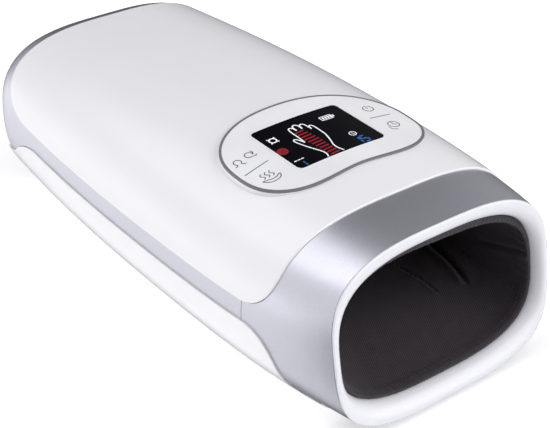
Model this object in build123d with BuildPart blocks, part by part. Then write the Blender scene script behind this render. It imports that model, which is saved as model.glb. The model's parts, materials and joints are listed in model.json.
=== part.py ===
from build123d import *
import math
import os

# Air-compression hand massager: the hand goes in at the leaning mouth at -Y, the pump,
# valves, battery and main board sit behind the hand tunnel at +Y.
# Millimetres, +Z up, origin under the middle of the object on the surface it stands on.

# Driving dimensions of the housing
overall_length = 336.0
overall_width = 170.0
crown_height = 102.1
foot_stand = 2.0
shell_wall = 2.6
cover_step = 1.0
seam_gap = 0.3
fit_gap = 0.3
film_gap = 0.15
overrun = 6.0

# Housing form: widths and heights of the sections that it is lofted through
waist_height = 51.0
mouth_width = 139.6
mouth_low = 2.9
mouth_top = 96.4
mouth_lean_share = 0.165
collar_section_y = -102.2
collar_section_width = 163.4
collar_section_top = 100.5
front_middle_y = -35.0
front_middle_width = 169.4
rear_middle_y = 45.0
rear_middle_width = 168.4
rear_middle_top = 101.4
rear_section_y = 115.0
rear_section_width = 159.6
rear_section_top = 99.2
rear_end_width = 149.0
rear_end_top = 97.2
rear_round = 23.5
crown_side_power = 3.25
crown_top_power = 2.33
belly_side_power = 3.0
belly_low_power = 3.1
mouth_crown_power = 3.14
mouth_belly_power = 3.43
outline_points_per_quarter = 5

# Parting lines, seen from the side
cover_front_y = -121.6
cover_rear_y = 145.9
cover_low = 58.2
cover_front_corner = 21.0
cover_rear_corner = 29.0
cover_rim_round = 0.8
base_top = 46.8
base_front_y = -147.0
base_rear_y = 153.0
base_front_bend = 22.0
base_front_turn = 70.0
base_front_bend_y = -103.0
base_front_run = 9.0
base_front_tail_bend = 10.0
base_rear_bend = 55.0
base_rear_turn = 40.0
base_rear_bend_y = 100.0
base_rear_tail_bend = 25.0
collar_seam_y = -102.2

# Mouth bezel: a flared lip, a funnel and a short throat
lip_depth = 1.0
lip_rim = 1.8
lip_round = 0.8
lip_rebate = 2.0
collar_lip_step = 0.2
spigot_length = 7.0
flare_steps = 3
funnel_depth = 5.0
funnel_width = 128.4
funnel_low = 11.8
funnel_top = 87.8
funnel_waist = 50.0
funnel_crown_power = 2.81
funnel_belly_power = 3.05
throat_depth = 16.0
throat_draw_in = 1.6
throat_wall = 1.4

# Control panel on the crown
panel_width = 110.6
panel_rear_y = -20.8
panel_front_y = -96.3
panel_widest_y = -64.0
panel_rear_power = 2.3
panel_front_power = 2.9
panel_front_dent = 2.2
panel_dent_wave = 84.0
panel_crown_top = 103.8
panel_crown_radius = 413.0
panel_front_drop = 1.6
trim_width = 1.3
trim_depth = 0.9
trim_stand = 0.15
screen_width = 56.0
screen_length = 42.7
screen_y = -58.9
screen_corner = 3.0
window_thickness = 1.5
window_ledge = 0.6
window_ledge_corner = 1.0
panel_rim_wall = 1.2
panel_rim_depth = 4.0

# Display stack under the panel
lcd_frame_width = 63.0
lcd_frame_length = 49.6
lcd_frame_thickness = 2.4
lcd_glass_width = 54.0
lcd_glass_length = 40.7
lcd_glass_height = 3.6
board_thickness = 1.6
display_board_width = 90.0
display_board_length = 58.0
display_board_top = 93.6
display_board_hole_x = 38.0
display_board_hole_y = 25.0
board_boss_diameter = 5.0
board_screw_diameter = 2.0
board_screw_head = 3.8
board_screw_head_height = 1.4
touch_post_diameter = 6.0
touch_key_x = 41.0
touch_key_spread = 11.5
ribbon_width = 16.0
ribbon_thickness = 0.6
ribbon_bend = 2.0
ribbon_plug_length = 8.0
ribbon_end_overlap = 4.0

# Hand tunnel, liner and the pads round the hand
tunnel_wall = 2.0
tunnel_grip = 8.0
tunnel_rear_y = 56.0
liner_wall = 1.5
liner_rear_y = 50.0
liner_width = 119.0
liner_low = 25.6
liner_top = 75.4
liner_straight_y = -107.0
liner_crown_power = 2.8
liner_end_round = 6.0
pad_width = 86.0
pad_thickness = 6.2
pad_edge_round = 2.0
pad_corner = 8.0
pad_front_y = -102.0
pad_length = 144.0
airbag_tail = 2.0
heated_pad_thickness = 5.6
heating_film_thickness = 0.6
heating_film_margin = 5.0
tunnel_rib_thickness = 2.0
tunnel_rib_width = 56.0
tunnel_rib_places = (-62.0, 14.0)

# Housing screws and their bosses
housing_boss_diameter = 8.0
housing_boss_x = 71.6
housing_boss_rear_x = 62.0
housing_boss_front_y = -84.0
housing_boss_middle_y = 20.0
housing_boss_rear_y = 128.0
boss_split_height = 50.5
housing_screw_diameter = 3.0
housing_screw_head = 5.6
housing_screw_head_height = 2.2
housing_screw_length = 11.0
screw_seat_web = 3.0
screw_clearance = 0.1
driver_hole_diameter = 6.4
base_boss_wall = 1.2

# Feet
foot_diameter = 15.0
foot_x = 31.0
foot_front_y = -96.0
foot_rear_y = 112.0
foot_recess = 1.2
foot_edge_round = 0.6

# Air pump, lying across the rear bay
pump_y = 92.0
pump_z = 26.5
pump_motor_x = -33.0
motor_diameter = 24.0
motor_length = 31.0
motor_can_wall = 1.0
motor_end_thickness = 3.0
magnet_thickness = 3.0
magnet_gap_width = 8.0
motor_terminal_spread = 6.0
motor_terminal_thickness = 0.8
motor_terminal_width = 2.8
motor_terminal_length = 4.0
rotor_gap = 0.5
rotor_end_gap = 1.5
rotor_core_length = 17.0
rotor_slot_count = 3
rotor_slot_depth = 2.5
rotor_slot_width = 1.6
commutator_length = 4.0
commutator_diameter = 6.0
shaft_diameter = 2.0
bearing_diameter = 6.0
bearing_length = 3.0
running_clearance = 0.04
eccentric_diameter = 12.0
eccentric_thickness = 4.0
eccentric_gap = 1.0
crank_offset = 3.2
crank_pin_diameter = 1.6
crank_pin_length = 3.5
crankcase_size = 29.0
crankcase_length = 18.0
crankcase_wall = 1.8
crankcase_bore = 24.0
crankcase_corner = 3.0
crankcase_edge_round = 0.8
pump_screw_diameter = 2.0
pump_screw_head = 3.8
pump_screw_head_height = 1.4
pump_screw_edge = 3.2
pump_screw_depth = 5.0
swash_diameter = 20.0
swash_thickness = 2.4
swash_cup_wall = 1.2
swash_cup_gap = 0.3
diaphragm_thickness = 2.0
diaphragm_cup_diameter = 7.6
diaphragm_cup_spread = 6.2
diaphragm_cup_count = 3
diaphragm_cup_wall = 1.0
pump_head_length = 9.0
nozzle_bore = 1.6
nozzle_length = 8.0
cradle_length = 8.0
cradle_width = 32.0
cradle_plate = 2.0
cradle_saddle_drop = 5.0

# Valves on their manifold, behind the tunnel's rear wall
valve_count = 3
valve_spacing = 22.0
valve_z = 74.0
manifold_height = 13.0
manifold_length = 12.0
manifold_margin = 9.0
manifold_corner = 1.5
ribbon_channel_depth = 3.4
valve_size = 13.0
valve_length = 22.0
plunger_diameter = 5.0
plunger_length = 13.0
plunger_stroke = 1.5
plunger_spring_room = 4.0
plunger_nose = 3.4
plunger_nose_length = 2.0
plunger_clearance = 0.3
valve_port_bore = 2.4
tube_diameter = 5.0
tube_bore = 3.0
tube_bend = 9.0
tube_tight_bend = 3.0
tube_rise = 3.5
tube_grip = 4.0
tube_head_gap = 1.0
pump_tube_x = 46.0

# Battery, main board and the power inlet
cell_diameter = 18.4
cell_length = 65.2
cell_pitch = 19.4
cell_front_y = 120.0
cell_edge_round = 1.0
tray_wall = 1.8
tray_floor = 1.6
tray_rise = 10.0
main_board_width = 104.0
main_board_height = 44.0
main_board_low = 17.0
main_board_standoff = 6.0
main_board_hole_margin = 4.5
chip_size = 10.0
chip_height = 1.6
chip_z = 42.0
capacitor_diameter = 6.3
capacitor_height = 7.5
capacitor_x_places = (-32.0, -22.0)
capacitor_z = 28.0
battery_plug_width = 12.0
battery_plug_height = 6.0
battery_plug_x = 30.0
battery_plug_z = 26.0
inlet_z = 36.0
inlet_bore = 8.2
inlet_pin = 2.1
inlet_body = 11.0
inlet_depth = 14.0
inlet_flange = 13.0
inlet_flange_thickness = 1.2
inlet_bore_depth = 12.0

half_length = overall_length / 2
lean_stretch = math.sqrt(1 + mouth_lean_share**2)
inner_inset = cover_step + shell_wall
floor_z = foot_stand + inner_inset
throat_half_width = funnel_width / 2 - throat_draw_in + throat_wall
throat_top = funnel_top - throat_draw_in + throat_wall
throat_low = funnel_low + throat_draw_in - throat_wall
tunnel_ceiling = throat_top + fit_gap
tunnel_floor = throat_low - fit_gap
upper_pad_low = liner_top + fit_gap
upper_pad_top = upper_pad_low + pad_thickness
heated_top = liner_low - fit_gap
heated_low = heated_top - heating_film_thickness - heated_pad_thickness


def superellipse_quarters(half_width, centre, top, low, powers):
    """Closed outline of four quarter superellipses, widest at the height called centre."""
    top_x, top_z, low_x, low_z = powers
    points = []
    count = 4 * outline_points_per_quarter
    for i in range(count):
        angle = 2 * math.pi * i / count
        c, s = math.cos(angle), math.sin(angle)
        upper = s >= 0
        power_x = top_x if upper else low_x
        power_z = top_z if upper else low_z
        reach = top - centre if upper else centre - low
        x = half_width * math.copysign(abs(c) ** (2 / power_x), c)
        z = centre + reach * math.copysign(abs(s) ** (2 / power_z), s)
        points.append((x, z))
    return points


def across(y):
    """Upright plane across the housing at y, with its own y axis pointing up."""
    return Plane(origin=(0, y, 0), x_dir=(1, 0, 0), z_dir=(0, -1, 0))


def mouth(depth):
    """Plane parallel to the leaning mouth, this far behind it along Y."""
    return Plane(
        origin=(0, depth - half_length, mouth_low),
        x_dir=(1, 0, 0),
        z_dir=(0, -1, mouth_lean_share),
    )


def mouth_outline(half_width, waist, top, low, crown_power, belly_power):
    """Outline in a mouth plane: heights above the lip's lowest point, along the lean."""
    heights = [(h - mouth_low) * lean_stretch for h in (waist, top, low)]
    powers = (crown_power, crown_power, belly_power, belly_power)
    return superellipse_quarters(half_width, heights[0], heights[1], heights[2], powers)


def lip_outline(inset):
    """The housing's outline at the mouth, drawn in by inset."""
    return mouth_outline(
        mouth_width / 2 - inset,
        waist_height,
        mouth_top - inset,
        mouth_low + inset,
        mouth_crown_power,
        mouth_belly_power,
    )


def funnel_outline(inset):
    """The funnel's outline where the lining starts, drawn in by inset."""
    return mouth_outline(
        funnel_width / 2 - inset,
        funnel_waist,
        funnel_top - inset,
        funnel_low + inset,
        funnel_crown_power,
        funnel_belly_power,
    )


def flare_outline(share):
    """Outline of the rounded flare, from the lip's rim at share 0 to the funnel at 1."""
    rim = lip_outline(lip_rim)
    edge = funnel_outline(0.0)
    return [
        (x0 + (x1 - x0) * share, z0 + (z1 - z0) * share)
        for (x0, z0), (x1, z1) in zip(rim, edge)
    ]


def tunnel_outline(grow):
    """The tunnel's inner outline in an upright plane, grown by this much."""
    return superellipse_quarters(
        throat_half_width + fit_gap + grow,
        funnel_waist,
        tunnel_ceiling + grow,
        tunnel_floor - grow,
        (funnel_crown_power, funnel_crown_power, funnel_belly_power, funnel_belly_power),
    )


def liner_outline(inset):
    """The lining's outline along its straight part, drawn in by inset."""
    return superellipse_quarters(
        liner_width / 2 - inset,
        (liner_top + liner_low) / 2,
        liner_top - inset,
        liner_low + inset,
        (liner_crown_power,) * 4,
    )


def panel_outline(inset):
    """The control panel's kidney outline seen from above, drawn in by inset."""
    points = superellipse_quarters(
        panel_width / 2 - inset,
        panel_widest_y,
        panel_rear_y - inset,
        panel_front_y + inset,
        (panel_rear_power, panel_rear_power, panel_front_power, panel_front_power),
    )
    outline = []
    for x, y in points:
        front_share = max(0, panel_widest_y - y) / (panel_widest_y - panel_front_y)
        wave = math.cos(2 * math.pi * x / panel_dent_wave)
        outline.append((x, y + panel_front_dent * front_share * wave))
    return outline


def housing_form(inset, mouth_inset, front_overrun=0.0):
    """The housing's outer form drawn in by inset, its underside cut flat."""
    body_powers = (crown_side_power, crown_top_power, belly_side_power, belly_low_power)
    stations = (
        (collar_section_y, collar_section_width, collar_section_top),
        (front_middle_y, front_middle_width, crown_height),
        (rear_middle_y, rear_middle_width, rear_middle_top),
        (rear_section_y, rear_section_width, rear_section_top),
        (half_length + cover_step - inset, rear_end_width, rear_end_top),
    )
    with BuildPart() as form:
        with BuildSketch(mouth(0)):
            with BuildLine():
                Spline(*lip_outline(mouth_inset), periodic=True)
            make_face()
        for y, width, top in stations:
            outline = superellipse_quarters(width / 2 - inset, waist_height, top - inset, inset, body_powers)
            with BuildSketch(across(y)):
                with BuildLine():
                    Spline(*outline, periodic=True)
                make_face()
        loft()
        fillet(form.faces().sort_by(Axis.Y)[-1].edges(), rear_round - inset)
        if front_overrun:
            extrude(form.faces().sort_by(Axis.Y)[0], amount=front_overrun)
        split(bisect_by=Plane.XY.offset(foot_stand + inset), keep=Keep.TOP)
    return form.part


def cover_region(grow=0.0):
    """Side view of the top cover, as a block that reaches past both sides."""
    high = crown_height + overrun
    with BuildPart() as region:
        with BuildSketch(Plane.YZ):
            with BuildLine():
                FilletPolyline(
                    (cover_front_y - grow, high),
                    (cover_front_y - grow, cover_low - grow),
                    (cover_rear_y + grow, cover_low - grow),
                    (cover_rear_y + grow, high),
                    radius=[cover_front_corner + grow, cover_rear_corner + grow],
                )
                Line((cover_rear_y + grow, high), (cover_front_y - grow, high))
            make_face()
        extrude(amount=overall_width, both=True)
    return region.part


def base_region(grow=0.0):
    """Side view of the base shell with its S-shaped ends, as a block past both sides."""
    with BuildPart() as region:
        with BuildSketch(Plane.YZ):
            with BuildLine():
                front_start = (base_front_bend_y, base_top)
                rear_start = (base_rear_bend_y, base_top)
                Line(rear_start, front_start)
                front_bend = JernArc(front_start, (-1, 0), base_front_bend, base_front_turn)
                front_run = PolarLine(front_bend @ 1, base_front_run, direction=front_bend % 1)
                front_tail = JernArc(
                    front_run @ 1,
                    front_run % 1,
                    base_front_tail_bend,
                    -base_front_turn,
                )
                rear_bend = JernArc(rear_start, (1, 0), base_rear_bend, -base_rear_turn)
                rear_tail = JernArc(rear_bend @ 1, rear_bend % 1, base_rear_tail_bend, base_rear_turn)
                Polyline(
                    front_tail @ 1,
                    (base_front_y, (front_tail @ 1).Y),
                    (base_front_y, -overrun),
                    (base_rear_y, -overrun),
                    (base_rear_y, (rear_tail @ 1).Y),
                    rear_tail @ 1,
                )
            make_face()
            if grow:
                offset(amount=grow)
        extrude(amount=overall_width, both=True)
    return region.part


def crown_block(below):
    """Everything under the panel's shallow crown, lowered by this much."""
    margin = panel_width / 2 + overrun
    drop = panel_crown_radius - math.sqrt(panel_crown_radius**2 - margin**2)
    top = panel_crown_top - below
    run = panel_rear_y - panel_front_y
    slope = Vector(0, -run, -panel_front_drop)
    start = panel_rear_y + overrun
    rise = overrun * panel_front_drop / run
    with BuildPart() as block:
        with BuildSketch(across(start)):
            with BuildLine():
                ThreePointArc((-margin, top + rise - drop), (0, top + rise), (margin, top + rise - drop))
                Polyline(
                    (margin, top + rise - drop),
                    (margin, waist_height),
                    (-margin, waist_height),
                    (-margin, top + rise - drop),
                )
            make_face()
        extrude(amount=slope.length * (run + overrun * 2) / run, dir=slope.normalized())
    return block.part


def upright_prism(points, low, high):
    """Smooth outline seen from above, extruded from low to high."""
    with BuildPart() as prism:
        with BuildSketch(Plane.XY.offset(low)):
            with BuildLine():
                Spline(*points, periodic=True)
            make_face()
        extrude(amount=high - low)
    return prism.part


def screen_plane(below):
    """Plane along the panel's slope, this far below its crown, centred on the screen."""
    run = panel_rear_y - panel_front_y
    height = panel_crown_top - panel_front_drop * (panel_rear_y - screen_y) / run
    return Plane(
        origin=(0, screen_y, height - below),
        x_dir=(1, 0, 0),
        z_dir=(0, -panel_front_drop, run),
    )


def lining_form(inset):
    """The lining's pocket drawn in by inset: hem, throat and the straight part to its end."""
    with BuildPart() as form:
        with BuildSketch(mouth(funnel_depth + fit_gap)):
            with BuildLine():
                Spline(*funnel_outline(fit_gap + inset), periodic=True)
            make_face()
        with BuildSketch(mouth(throat_depth)):
            with BuildLine():
                Spline(*funnel_outline(throat_draw_in + fit_gap + inset), periodic=True)
            make_face()
        with BuildSketch(across(liner_straight_y)):
            with BuildLine():
                Spline(*liner_outline(inset), periodic=True)
            make_face()
        loft(ruled=True)
        with BuildSketch(across(liner_straight_y)):
            with BuildLine():
                Spline(*liner_outline(inset), periodic=True)
            make_face()
        extrude(amount=liner_straight_y - liner_rear_y + inset)
        fillet(form.faces().sort_by(Axis.Y)[-1].edges(), liner_end_round - inset)
    return form.part


os.makedirs("parts", exist_ok=True)

outer_form = housing_form(0.0, 0.0)
band_form = housing_form(cover_step, collar_lip_step)
inner_form = housing_form(inner_inset, inner_inset, front_overrun=overrun)

housing_boss_places = [
    (side * x, y)
    for x, y in (
        (housing_boss_x, housing_boss_front_y),
        (housing_boss_x, housing_boss_middle_y),
        (housing_boss_rear_x, housing_boss_rear_y),
    )
    for side in (-1, 1)
]
display_boss_places = [
    (x, screen_y + y)
    for x in (-display_board_hole_x, display_board_hole_x)
    for y in (-display_board_hole_y, display_board_hole_y)
]
screw_hole_diameter = housing_screw_diameter + 2 * screw_clearance
display_board_low = display_board_top - board_thickness
sky = crown_height + overrun

# Bosses that hang from the inside of the top cover
with BuildPart() as cover_bosses:
    with BuildSketch(Plane.XY.offset(boss_split_height + seam_gap)):
        with Locations(*housing_boss_places):
            Circle(housing_boss_diameter / 2)
            Circle(screw_hole_diameter / 2, mode=Mode.SUBTRACT)
    extrude(amount=crown_height - boss_split_height)
    with BuildSketch(Plane.XY.offset(display_board_top)):
        with Locations(*display_boss_places):
            Circle(board_boss_diameter / 2)
            Circle(board_screw_diameter / 2 + screw_clearance, mode=Mode.SUBTRACT)
    extrude(amount=crown_height - display_board_top)
    add(band_form, mode=Mode.INTERSECT)

# Top cover: crown, shoulders and rounded lower corners in one moulding
with BuildPart() as top_cover:
    add(outer_form)
    add(cover_region(), mode=Mode.INTERSECT)
    add(inner_form, mode=Mode.SUBTRACT)
    fillet(top_cover.faces().sort_by(SortBy.AREA)[-1].edges(), cover_rim_round)
    add(cover_bosses.part)
    with BuildSketch(Plane.XY.offset(display_board_top)):
        with Locations((0, screen_y)):
            RectangleRounded(
                screen_width + 2 * panel_rim_wall + 2 * fit_gap,
                screen_length + 2 * panel_rim_wall + 2 * fit_gap,
                screen_corner,
            )
    extrude(amount=sky - display_board_top, mode=Mode.SUBTRACT)
top_cover.part.label = "top_cover"
export_step(top_cover.part, "parts/top_cover.step")

# Bosses, driver wells and rests inside the base
with BuildPart() as base_bosses:
    with BuildSketch(Plane.XY):
        with Locations(*housing_boss_places):
            Circle(driver_hole_diameter / 2 + base_boss_wall)
    extrude(amount=boss_split_height)
    for y in tunnel_rib_places:
        with BuildSketch(Plane.XY):
            with Locations((0, y)):
                Rectangle(tunnel_rib_width, tunnel_rib_thickness)
        extrude(amount=tunnel_floor - tunnel_wall - fit_gap)
    add(band_form, mode=Mode.INTERSECT)

# Base shell: tray with S-shaped ends, screw bosses, tunnel rests and foot recesses
foot_places = [(x, y) for x in (-foot_x, foot_x) for y in (foot_front_y, foot_rear_y)]
with BuildPart() as base_shell:
    add(outer_form)
    add(base_region(), mode=Mode.INTERSECT)
    add(inner_form, mode=Mode.SUBTRACT)
    add(base_bosses.part)
    with BuildSketch(Plane.XY):
        with Locations(*housing_boss_places):
            Circle(driver_hole_diameter / 2)
    extrude(amount=boss_split_height - screw_seat_web, mode=Mode.SUBTRACT)
    with BuildSketch(Plane.XY):
        with Locations(*housing_boss_places):
            Circle(screw_hole_diameter / 2)
    extrude(amount=boss_split_height, mode=Mode.SUBTRACT)
    with BuildSketch(Plane.XY):
        with Locations(*foot_places):
            Circle(foot_diameter / 2 + film_gap)
    extrude(amount=foot_stand + foot_recess, mode=Mode.SUBTRACT)
base_shell.part.label = "base_shell"
export_step(base_shell.part, "parts/base_shell.step")

# Silver band between cover and base, cut into the front collar and the rear band
with BuildPart() as silver_band:
    add(band_form)
    add(cover_region(seam_gap), mode=Mode.SUBTRACT)
    add(base_region(seam_gap), mode=Mode.SUBTRACT)
    add(inner_form, mode=Mode.SUBTRACT)

with BuildPart() as front_collar:
    add(silver_band.part)
    split(bisect_by=across(collar_seam_y - seam_gap / 2), keep=Keep.TOP)
    split(bisect_by=mouth(lip_depth + film_gap), keep=Keep.BOTTOM)
    with BuildSketch(mouth(0)):
        with BuildLine():
            Spline(*lip_outline(lip_rebate), periodic=True)
        make_face()
    extrude(amount=lip_depth + spigot_length + fit_gap, dir=(0, 1, 0), mode=Mode.SUBTRACT)
front_collar.part.label = "front_collar"
export_step(front_collar.part, "parts/front_collar.step")

with BuildPart() as rear_band:
    add(silver_band.part)
    split(bisect_by=across(collar_seam_y + seam_gap / 2), keep=Keep.BOTTOM)
    with BuildSketch(across(half_length)):
        with Locations((0, inlet_z)):
            Circle(inlet_flange / 2 + film_gap)
    extrude(amount=inlet_flange_thickness, mode=Mode.SUBTRACT)
    with BuildSketch(across(half_length)):
        with Locations((0, inlet_z)):
            Circle(inlet_body / 2 + film_gap)
    extrude(amount=overrun, mode=Mode.SUBTRACT)
rear_band.part.label = "rear_band"
export_step(rear_band.part, "parts/rear_band.step")

# Mouth bezel: flared lip, curved funnel and the throat that the tunnel slides over
with BuildPart() as mouth_bezel:
    with BuildSketch(mouth(0)):
        with BuildLine():
            Spline(*lip_outline(0.0), periodic=True)
        make_face()
    extrude(amount=lip_depth, dir=(0, 1, 0))
    with BuildSketch(mouth(lip_depth)):
        with BuildLine():
            Spline(*lip_outline(lip_rebate + fit_gap), periodic=True)
        make_face()
    extrude(amount=spigot_length, dir=(0, 1, 0))
    with BuildSketch(mouth(lip_depth)):
        with BuildLine():
            Spline(*funnel_outline(throat_draw_in - throat_wall), periodic=True)
        make_face()
    extrude(amount=throat_depth - lip_depth, dir=(0, 1, 0))
    for i in range(flare_steps + 1):
        turn = math.pi / 2 * i / flare_steps
        with BuildSketch(mouth(funnel_depth * (1 - math.cos(turn)))):
            with BuildLine():
                Spline(*flare_outline(math.sin(turn)), periodic=True)
            make_face()
    with BuildSketch(mouth(throat_depth)):
        with BuildLine():
            Spline(*funnel_outline(throat_draw_in), periodic=True)
        make_face()
    loft(ruled=True, mode=Mode.SUBTRACT)
    fillet(mouth_bezel.faces().sort_by(Axis.Y)[0].edges(), lip_round)
mouth_bezel.part.label = "mouth_bezel"
export_step(mouth_bezel.part, "parts/mouth_bezel.step")

# Hand tunnel: a rigid sleeve with a closed rear wall that carries the board and the valves
board_front_y = tunnel_rear_y + main_board_standoff
main_board_top = main_board_low + main_board_height
main_boss_places = [
    (x, z)
    for x in (
        main_board_hole_margin - main_board_width / 2,
        main_board_width / 2 - main_board_hole_margin,
    )
    for z in (main_board_low + main_board_hole_margin, main_board_top - main_board_hole_margin)
]
upper_tube_z = tunnel_ceiling - tube_rise
lower_tube_z = tunnel_floor + tube_rise
with BuildPart() as hand_tunnel:
    with BuildSketch(across(tunnel_rear_y)):
        with BuildLine():
            Spline(*tunnel_outline(tunnel_wall), periodic=True)
        make_face()
    extrude(amount=tunnel_rear_y + half_length)
    with BuildSketch(across(tunnel_rear_y - tunnel_wall)):
        with BuildLine():
            Spline(*tunnel_outline(0.0), periodic=True)
        make_face()
    extrude(amount=tunnel_rear_y + half_length, mode=Mode.SUBTRACT)
    split(bisect_by=mouth(throat_depth - tunnel_grip), keep=Keep.BOTTOM)
    with BuildSketch(across(tunnel_rear_y)):
        with Locations(*main_boss_places):
            Circle(board_boss_diameter / 2)
    extrude(amount=-main_board_standoff)
    with BuildSketch(across(board_front_y)):
        with Locations(*main_boss_places):
            Circle(board_screw_diameter / 2 + screw_clearance)
    extrude(amount=main_board_standoff, mode=Mode.SUBTRACT)
    with BuildSketch(across(tunnel_rear_y)):
        with Locations((-valve_spacing, upper_tube_z), (valve_spacing, lower_tube_z)):
            Circle(tube_diameter / 2 + film_gap)
    extrude(amount=tunnel_wall, mode=Mode.SUBTRACT)
hand_tunnel.part.label = "hand_tunnel"
export_step(hand_tunnel.part, "parts/hand_tunnel.step")

# Fabric lining: a closed pocket from the funnel to the tunnel's rear wall
with BuildPart() as fabric_liner:
    add(lining_form(0.0))
    add(lining_form(liner_wall), mode=Mode.SUBTRACT)
fabric_liner.part.label = "fabric_liner"
export_step(fabric_liner.part, "parts/fabric_liner.step")

# Pressing pads: foam above the hand, heated foam below it
pad_middle = (0, pad_front_y + pad_length / 2)
with BuildPart() as upper_pad:
    with BuildSketch(Plane.XY.offset(upper_pad_low)):
        with Locations(pad_middle):
            RectangleRounded(pad_width, pad_length, pad_corner)
    extrude(amount=pad_thickness)
    fillet(upper_pad.edges().filter_by(Plane.XY), pad_edge_round)
upper_pad.part.label = "upper_pad"
export_step(upper_pad.part, "parts/upper_pad.step")

with BuildPart() as heated_pad:
    with BuildSketch(Plane.XY.offset(heated_low)):
        with Locations(pad_middle):
            RectangleRounded(pad_width, pad_length, pad_corner)
    extrude(amount=heated_pad_thickness)
    fillet(heated_pad.faces().sort_by(Axis.Z)[0].edges(), pad_edge_round)
heated_pad.part.label = "heated_pad"
export_step(heated_pad.part, "parts/heated_pad.step")

with BuildPart() as heating_film:
    with BuildSketch(Plane.XY.offset(heated_low + heated_pad_thickness)):
        with Locations(pad_middle):
            RectangleRounded(
                pad_width - 2 * heating_film_margin,
                pad_length - 2 * heating_film_margin,
                pad_edge_round,
            )
    extrude(amount=heating_film_thickness)
heating_film.part.label = "heating_film"
export_step(heating_film.part, "parts/heating_film.step")

# Air bags between the tunnel and each pad, crowned where they lie against the tunnel
airbag_rear_y = pad_front_y + pad_length + airbag_tail
with BuildPart() as upper_airbag:
    with BuildSketch(across(airbag_rear_y)):
        with BuildLine():
            Spline(*tunnel_outline(-fit_gap), periodic=True)
        make_face()
        with Locations((0, upper_pad_top + fit_gap)):
            Rectangle(pad_width, tunnel_ceiling, align=(Align.CENTER, Align.MIN), mode=Mode.INTERSECT)
    extrude(amount=airbag_rear_y - pad_front_y)
upper_airbag.part.label = "upper_airbag"
export_step(upper_airbag.part, "parts/upper_airbag.step")

with BuildPart() as lower_airbag:
    with BuildSketch(across(airbag_rear_y)):
        with BuildLine():
            Spline(*tunnel_outline(-fit_gap), periodic=True)
        make_face()
        with Locations((0, heated_low - fit_gap)):
            Rectangle(pad_width, tunnel_ceiling, align=(Align.CENTER, Align.MAX), mode=Mode.INTERSECT)
    extrude(amount=airbag_rear_y - pad_front_y)
lower_airbag.part.label = "lower_airbag"
export_step(lower_airbag.part, "parts/lower_airbag.step")

# Control panel: a raised kidney plate with a rim that drops into the cover's opening
panel_prism = upright_prism(panel_outline(0.0), display_board_top, sky)
panel_core = upright_prism(panel_outline(trim_width), display_board_top, sky)
panel_top_block = crown_block(0.0)
with BuildPart() as control_panel:
    add(panel_prism)
    add(panel_top_block, mode=Mode.INTERSECT)
    add(housing_form(-film_gap, -film_gap), mode=Mode.SUBTRACT)
    add(panel_core + crown_block(trim_depth), mode=Mode.INTERSECT)
    with BuildSketch(screen_plane(window_thickness / 2)):
        RectangleRounded(
            screen_width + 2 * panel_rim_wall,
            screen_length + 2 * panel_rim_wall,
            screen_corner + panel_rim_wall,
        )
    extrude(amount=-panel_rim_depth)
    with BuildSketch(screen_plane(window_thickness)):
        RectangleRounded(screen_width, screen_length, screen_corner)
    extrude(amount=overrun, mode=Mode.SUBTRACT)
    with BuildSketch(screen_plane(window_thickness / 2)):
        RectangleRounded(
            screen_width - 2 * window_ledge,
            screen_length - 2 * window_ledge,
            window_ledge_corner,
        )
    extrude(amount=-overrun * 2, mode=Mode.SUBTRACT)
control_panel.part.label = "control_panel"
export_step(control_panel.part, "parts/control_panel.step")

with BuildPart() as panel_trim_ring:
    add(panel_prism)
    add(crown_block(-trim_stand), mode=Mode.INTERSECT)
    add(crown_block(trim_depth), mode=Mode.SUBTRACT)
    add(panel_core, mode=Mode.SUBTRACT)
panel_trim_ring.part.label = "panel_trim_ring"
export_step(panel_trim_ring.part, "parts/panel_trim_ring.step")

with BuildPart() as display_window:
    with BuildSketch(screen_plane(window_thickness)):
        RectangleRounded(
            screen_width - 2 * film_gap,
            screen_length - 2 * film_gap,
            screen_corner - film_gap,
        )
    extrude(amount=window_thickness)
    add(panel_top_block, mode=Mode.INTERSECT)
display_window.part.label = "display_window"
export_step(display_window.part, "parts/display_window.step")

# Display module, its board, the touch posts and the screws into the cover
lcd_frame_low = display_board_top + film_gap
lcd_frame_top = lcd_frame_low + lcd_frame_thickness
with BuildPart() as lcd_module:
    with BuildSketch(Plane.XY.offset(lcd_frame_low)):
        with Locations((0, screen_y)):
            Rectangle(lcd_frame_width, lcd_frame_length)
    extrude(amount=lcd_frame_thickness)
    with BuildSketch(Plane.XY.offset(lcd_frame_top)):
        with Locations((0, screen_y)):
            Rectangle(lcd_glass_width, lcd_glass_length)
    extrude(amount=lcd_glass_height)
lcd_module.part.label = "lcd_module"
export_step(lcd_module.part, "parts/lcd_module.step")

with BuildPart() as display_board:
    with BuildSketch(Plane.XY.offset(display_board_low)):
        with Locations((0, screen_y)):
            RectangleRounded(display_board_width, display_board_length, board_boss_diameter / 2)
        with Locations(*display_boss_places):
            Circle(board_screw_diameter / 2 + screw_clearance, mode=Mode.SUBTRACT)
    extrude(amount=board_thickness)
    ribbon_top = tunnel_ceiling + tunnel_wall + fit_gap + ribbon_thickness
    plug_y = screen_y + display_board_length / 2 - ribbon_plug_length
    with BuildSketch(Plane.XY.offset(ribbon_top)):
        with Locations((0, plug_y)):
            Rectangle(ribbon_width, ribbon_plug_length)
    extrude(amount=display_board_low - ribbon_top)
display_board.part.label = "display_board"
export_step(display_board.part, "parts/display_board.step")

with BuildPart() as touch_posts:
    with BuildSketch(Plane.XY.offset(display_board_top)):
        for x in (-touch_key_x, touch_key_x):
            for y in (-touch_key_spread, touch_key_spread):
                with Locations((x, screen_y + y)):
                    Circle(touch_post_diameter / 2)
    extrude(amount=sky - display_board_top)
    add(inner_form, mode=Mode.INTERSECT)
touch_posts.part.label = "touch_posts"
export_step(touch_posts.part, "parts/touch_posts.step")

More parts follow.
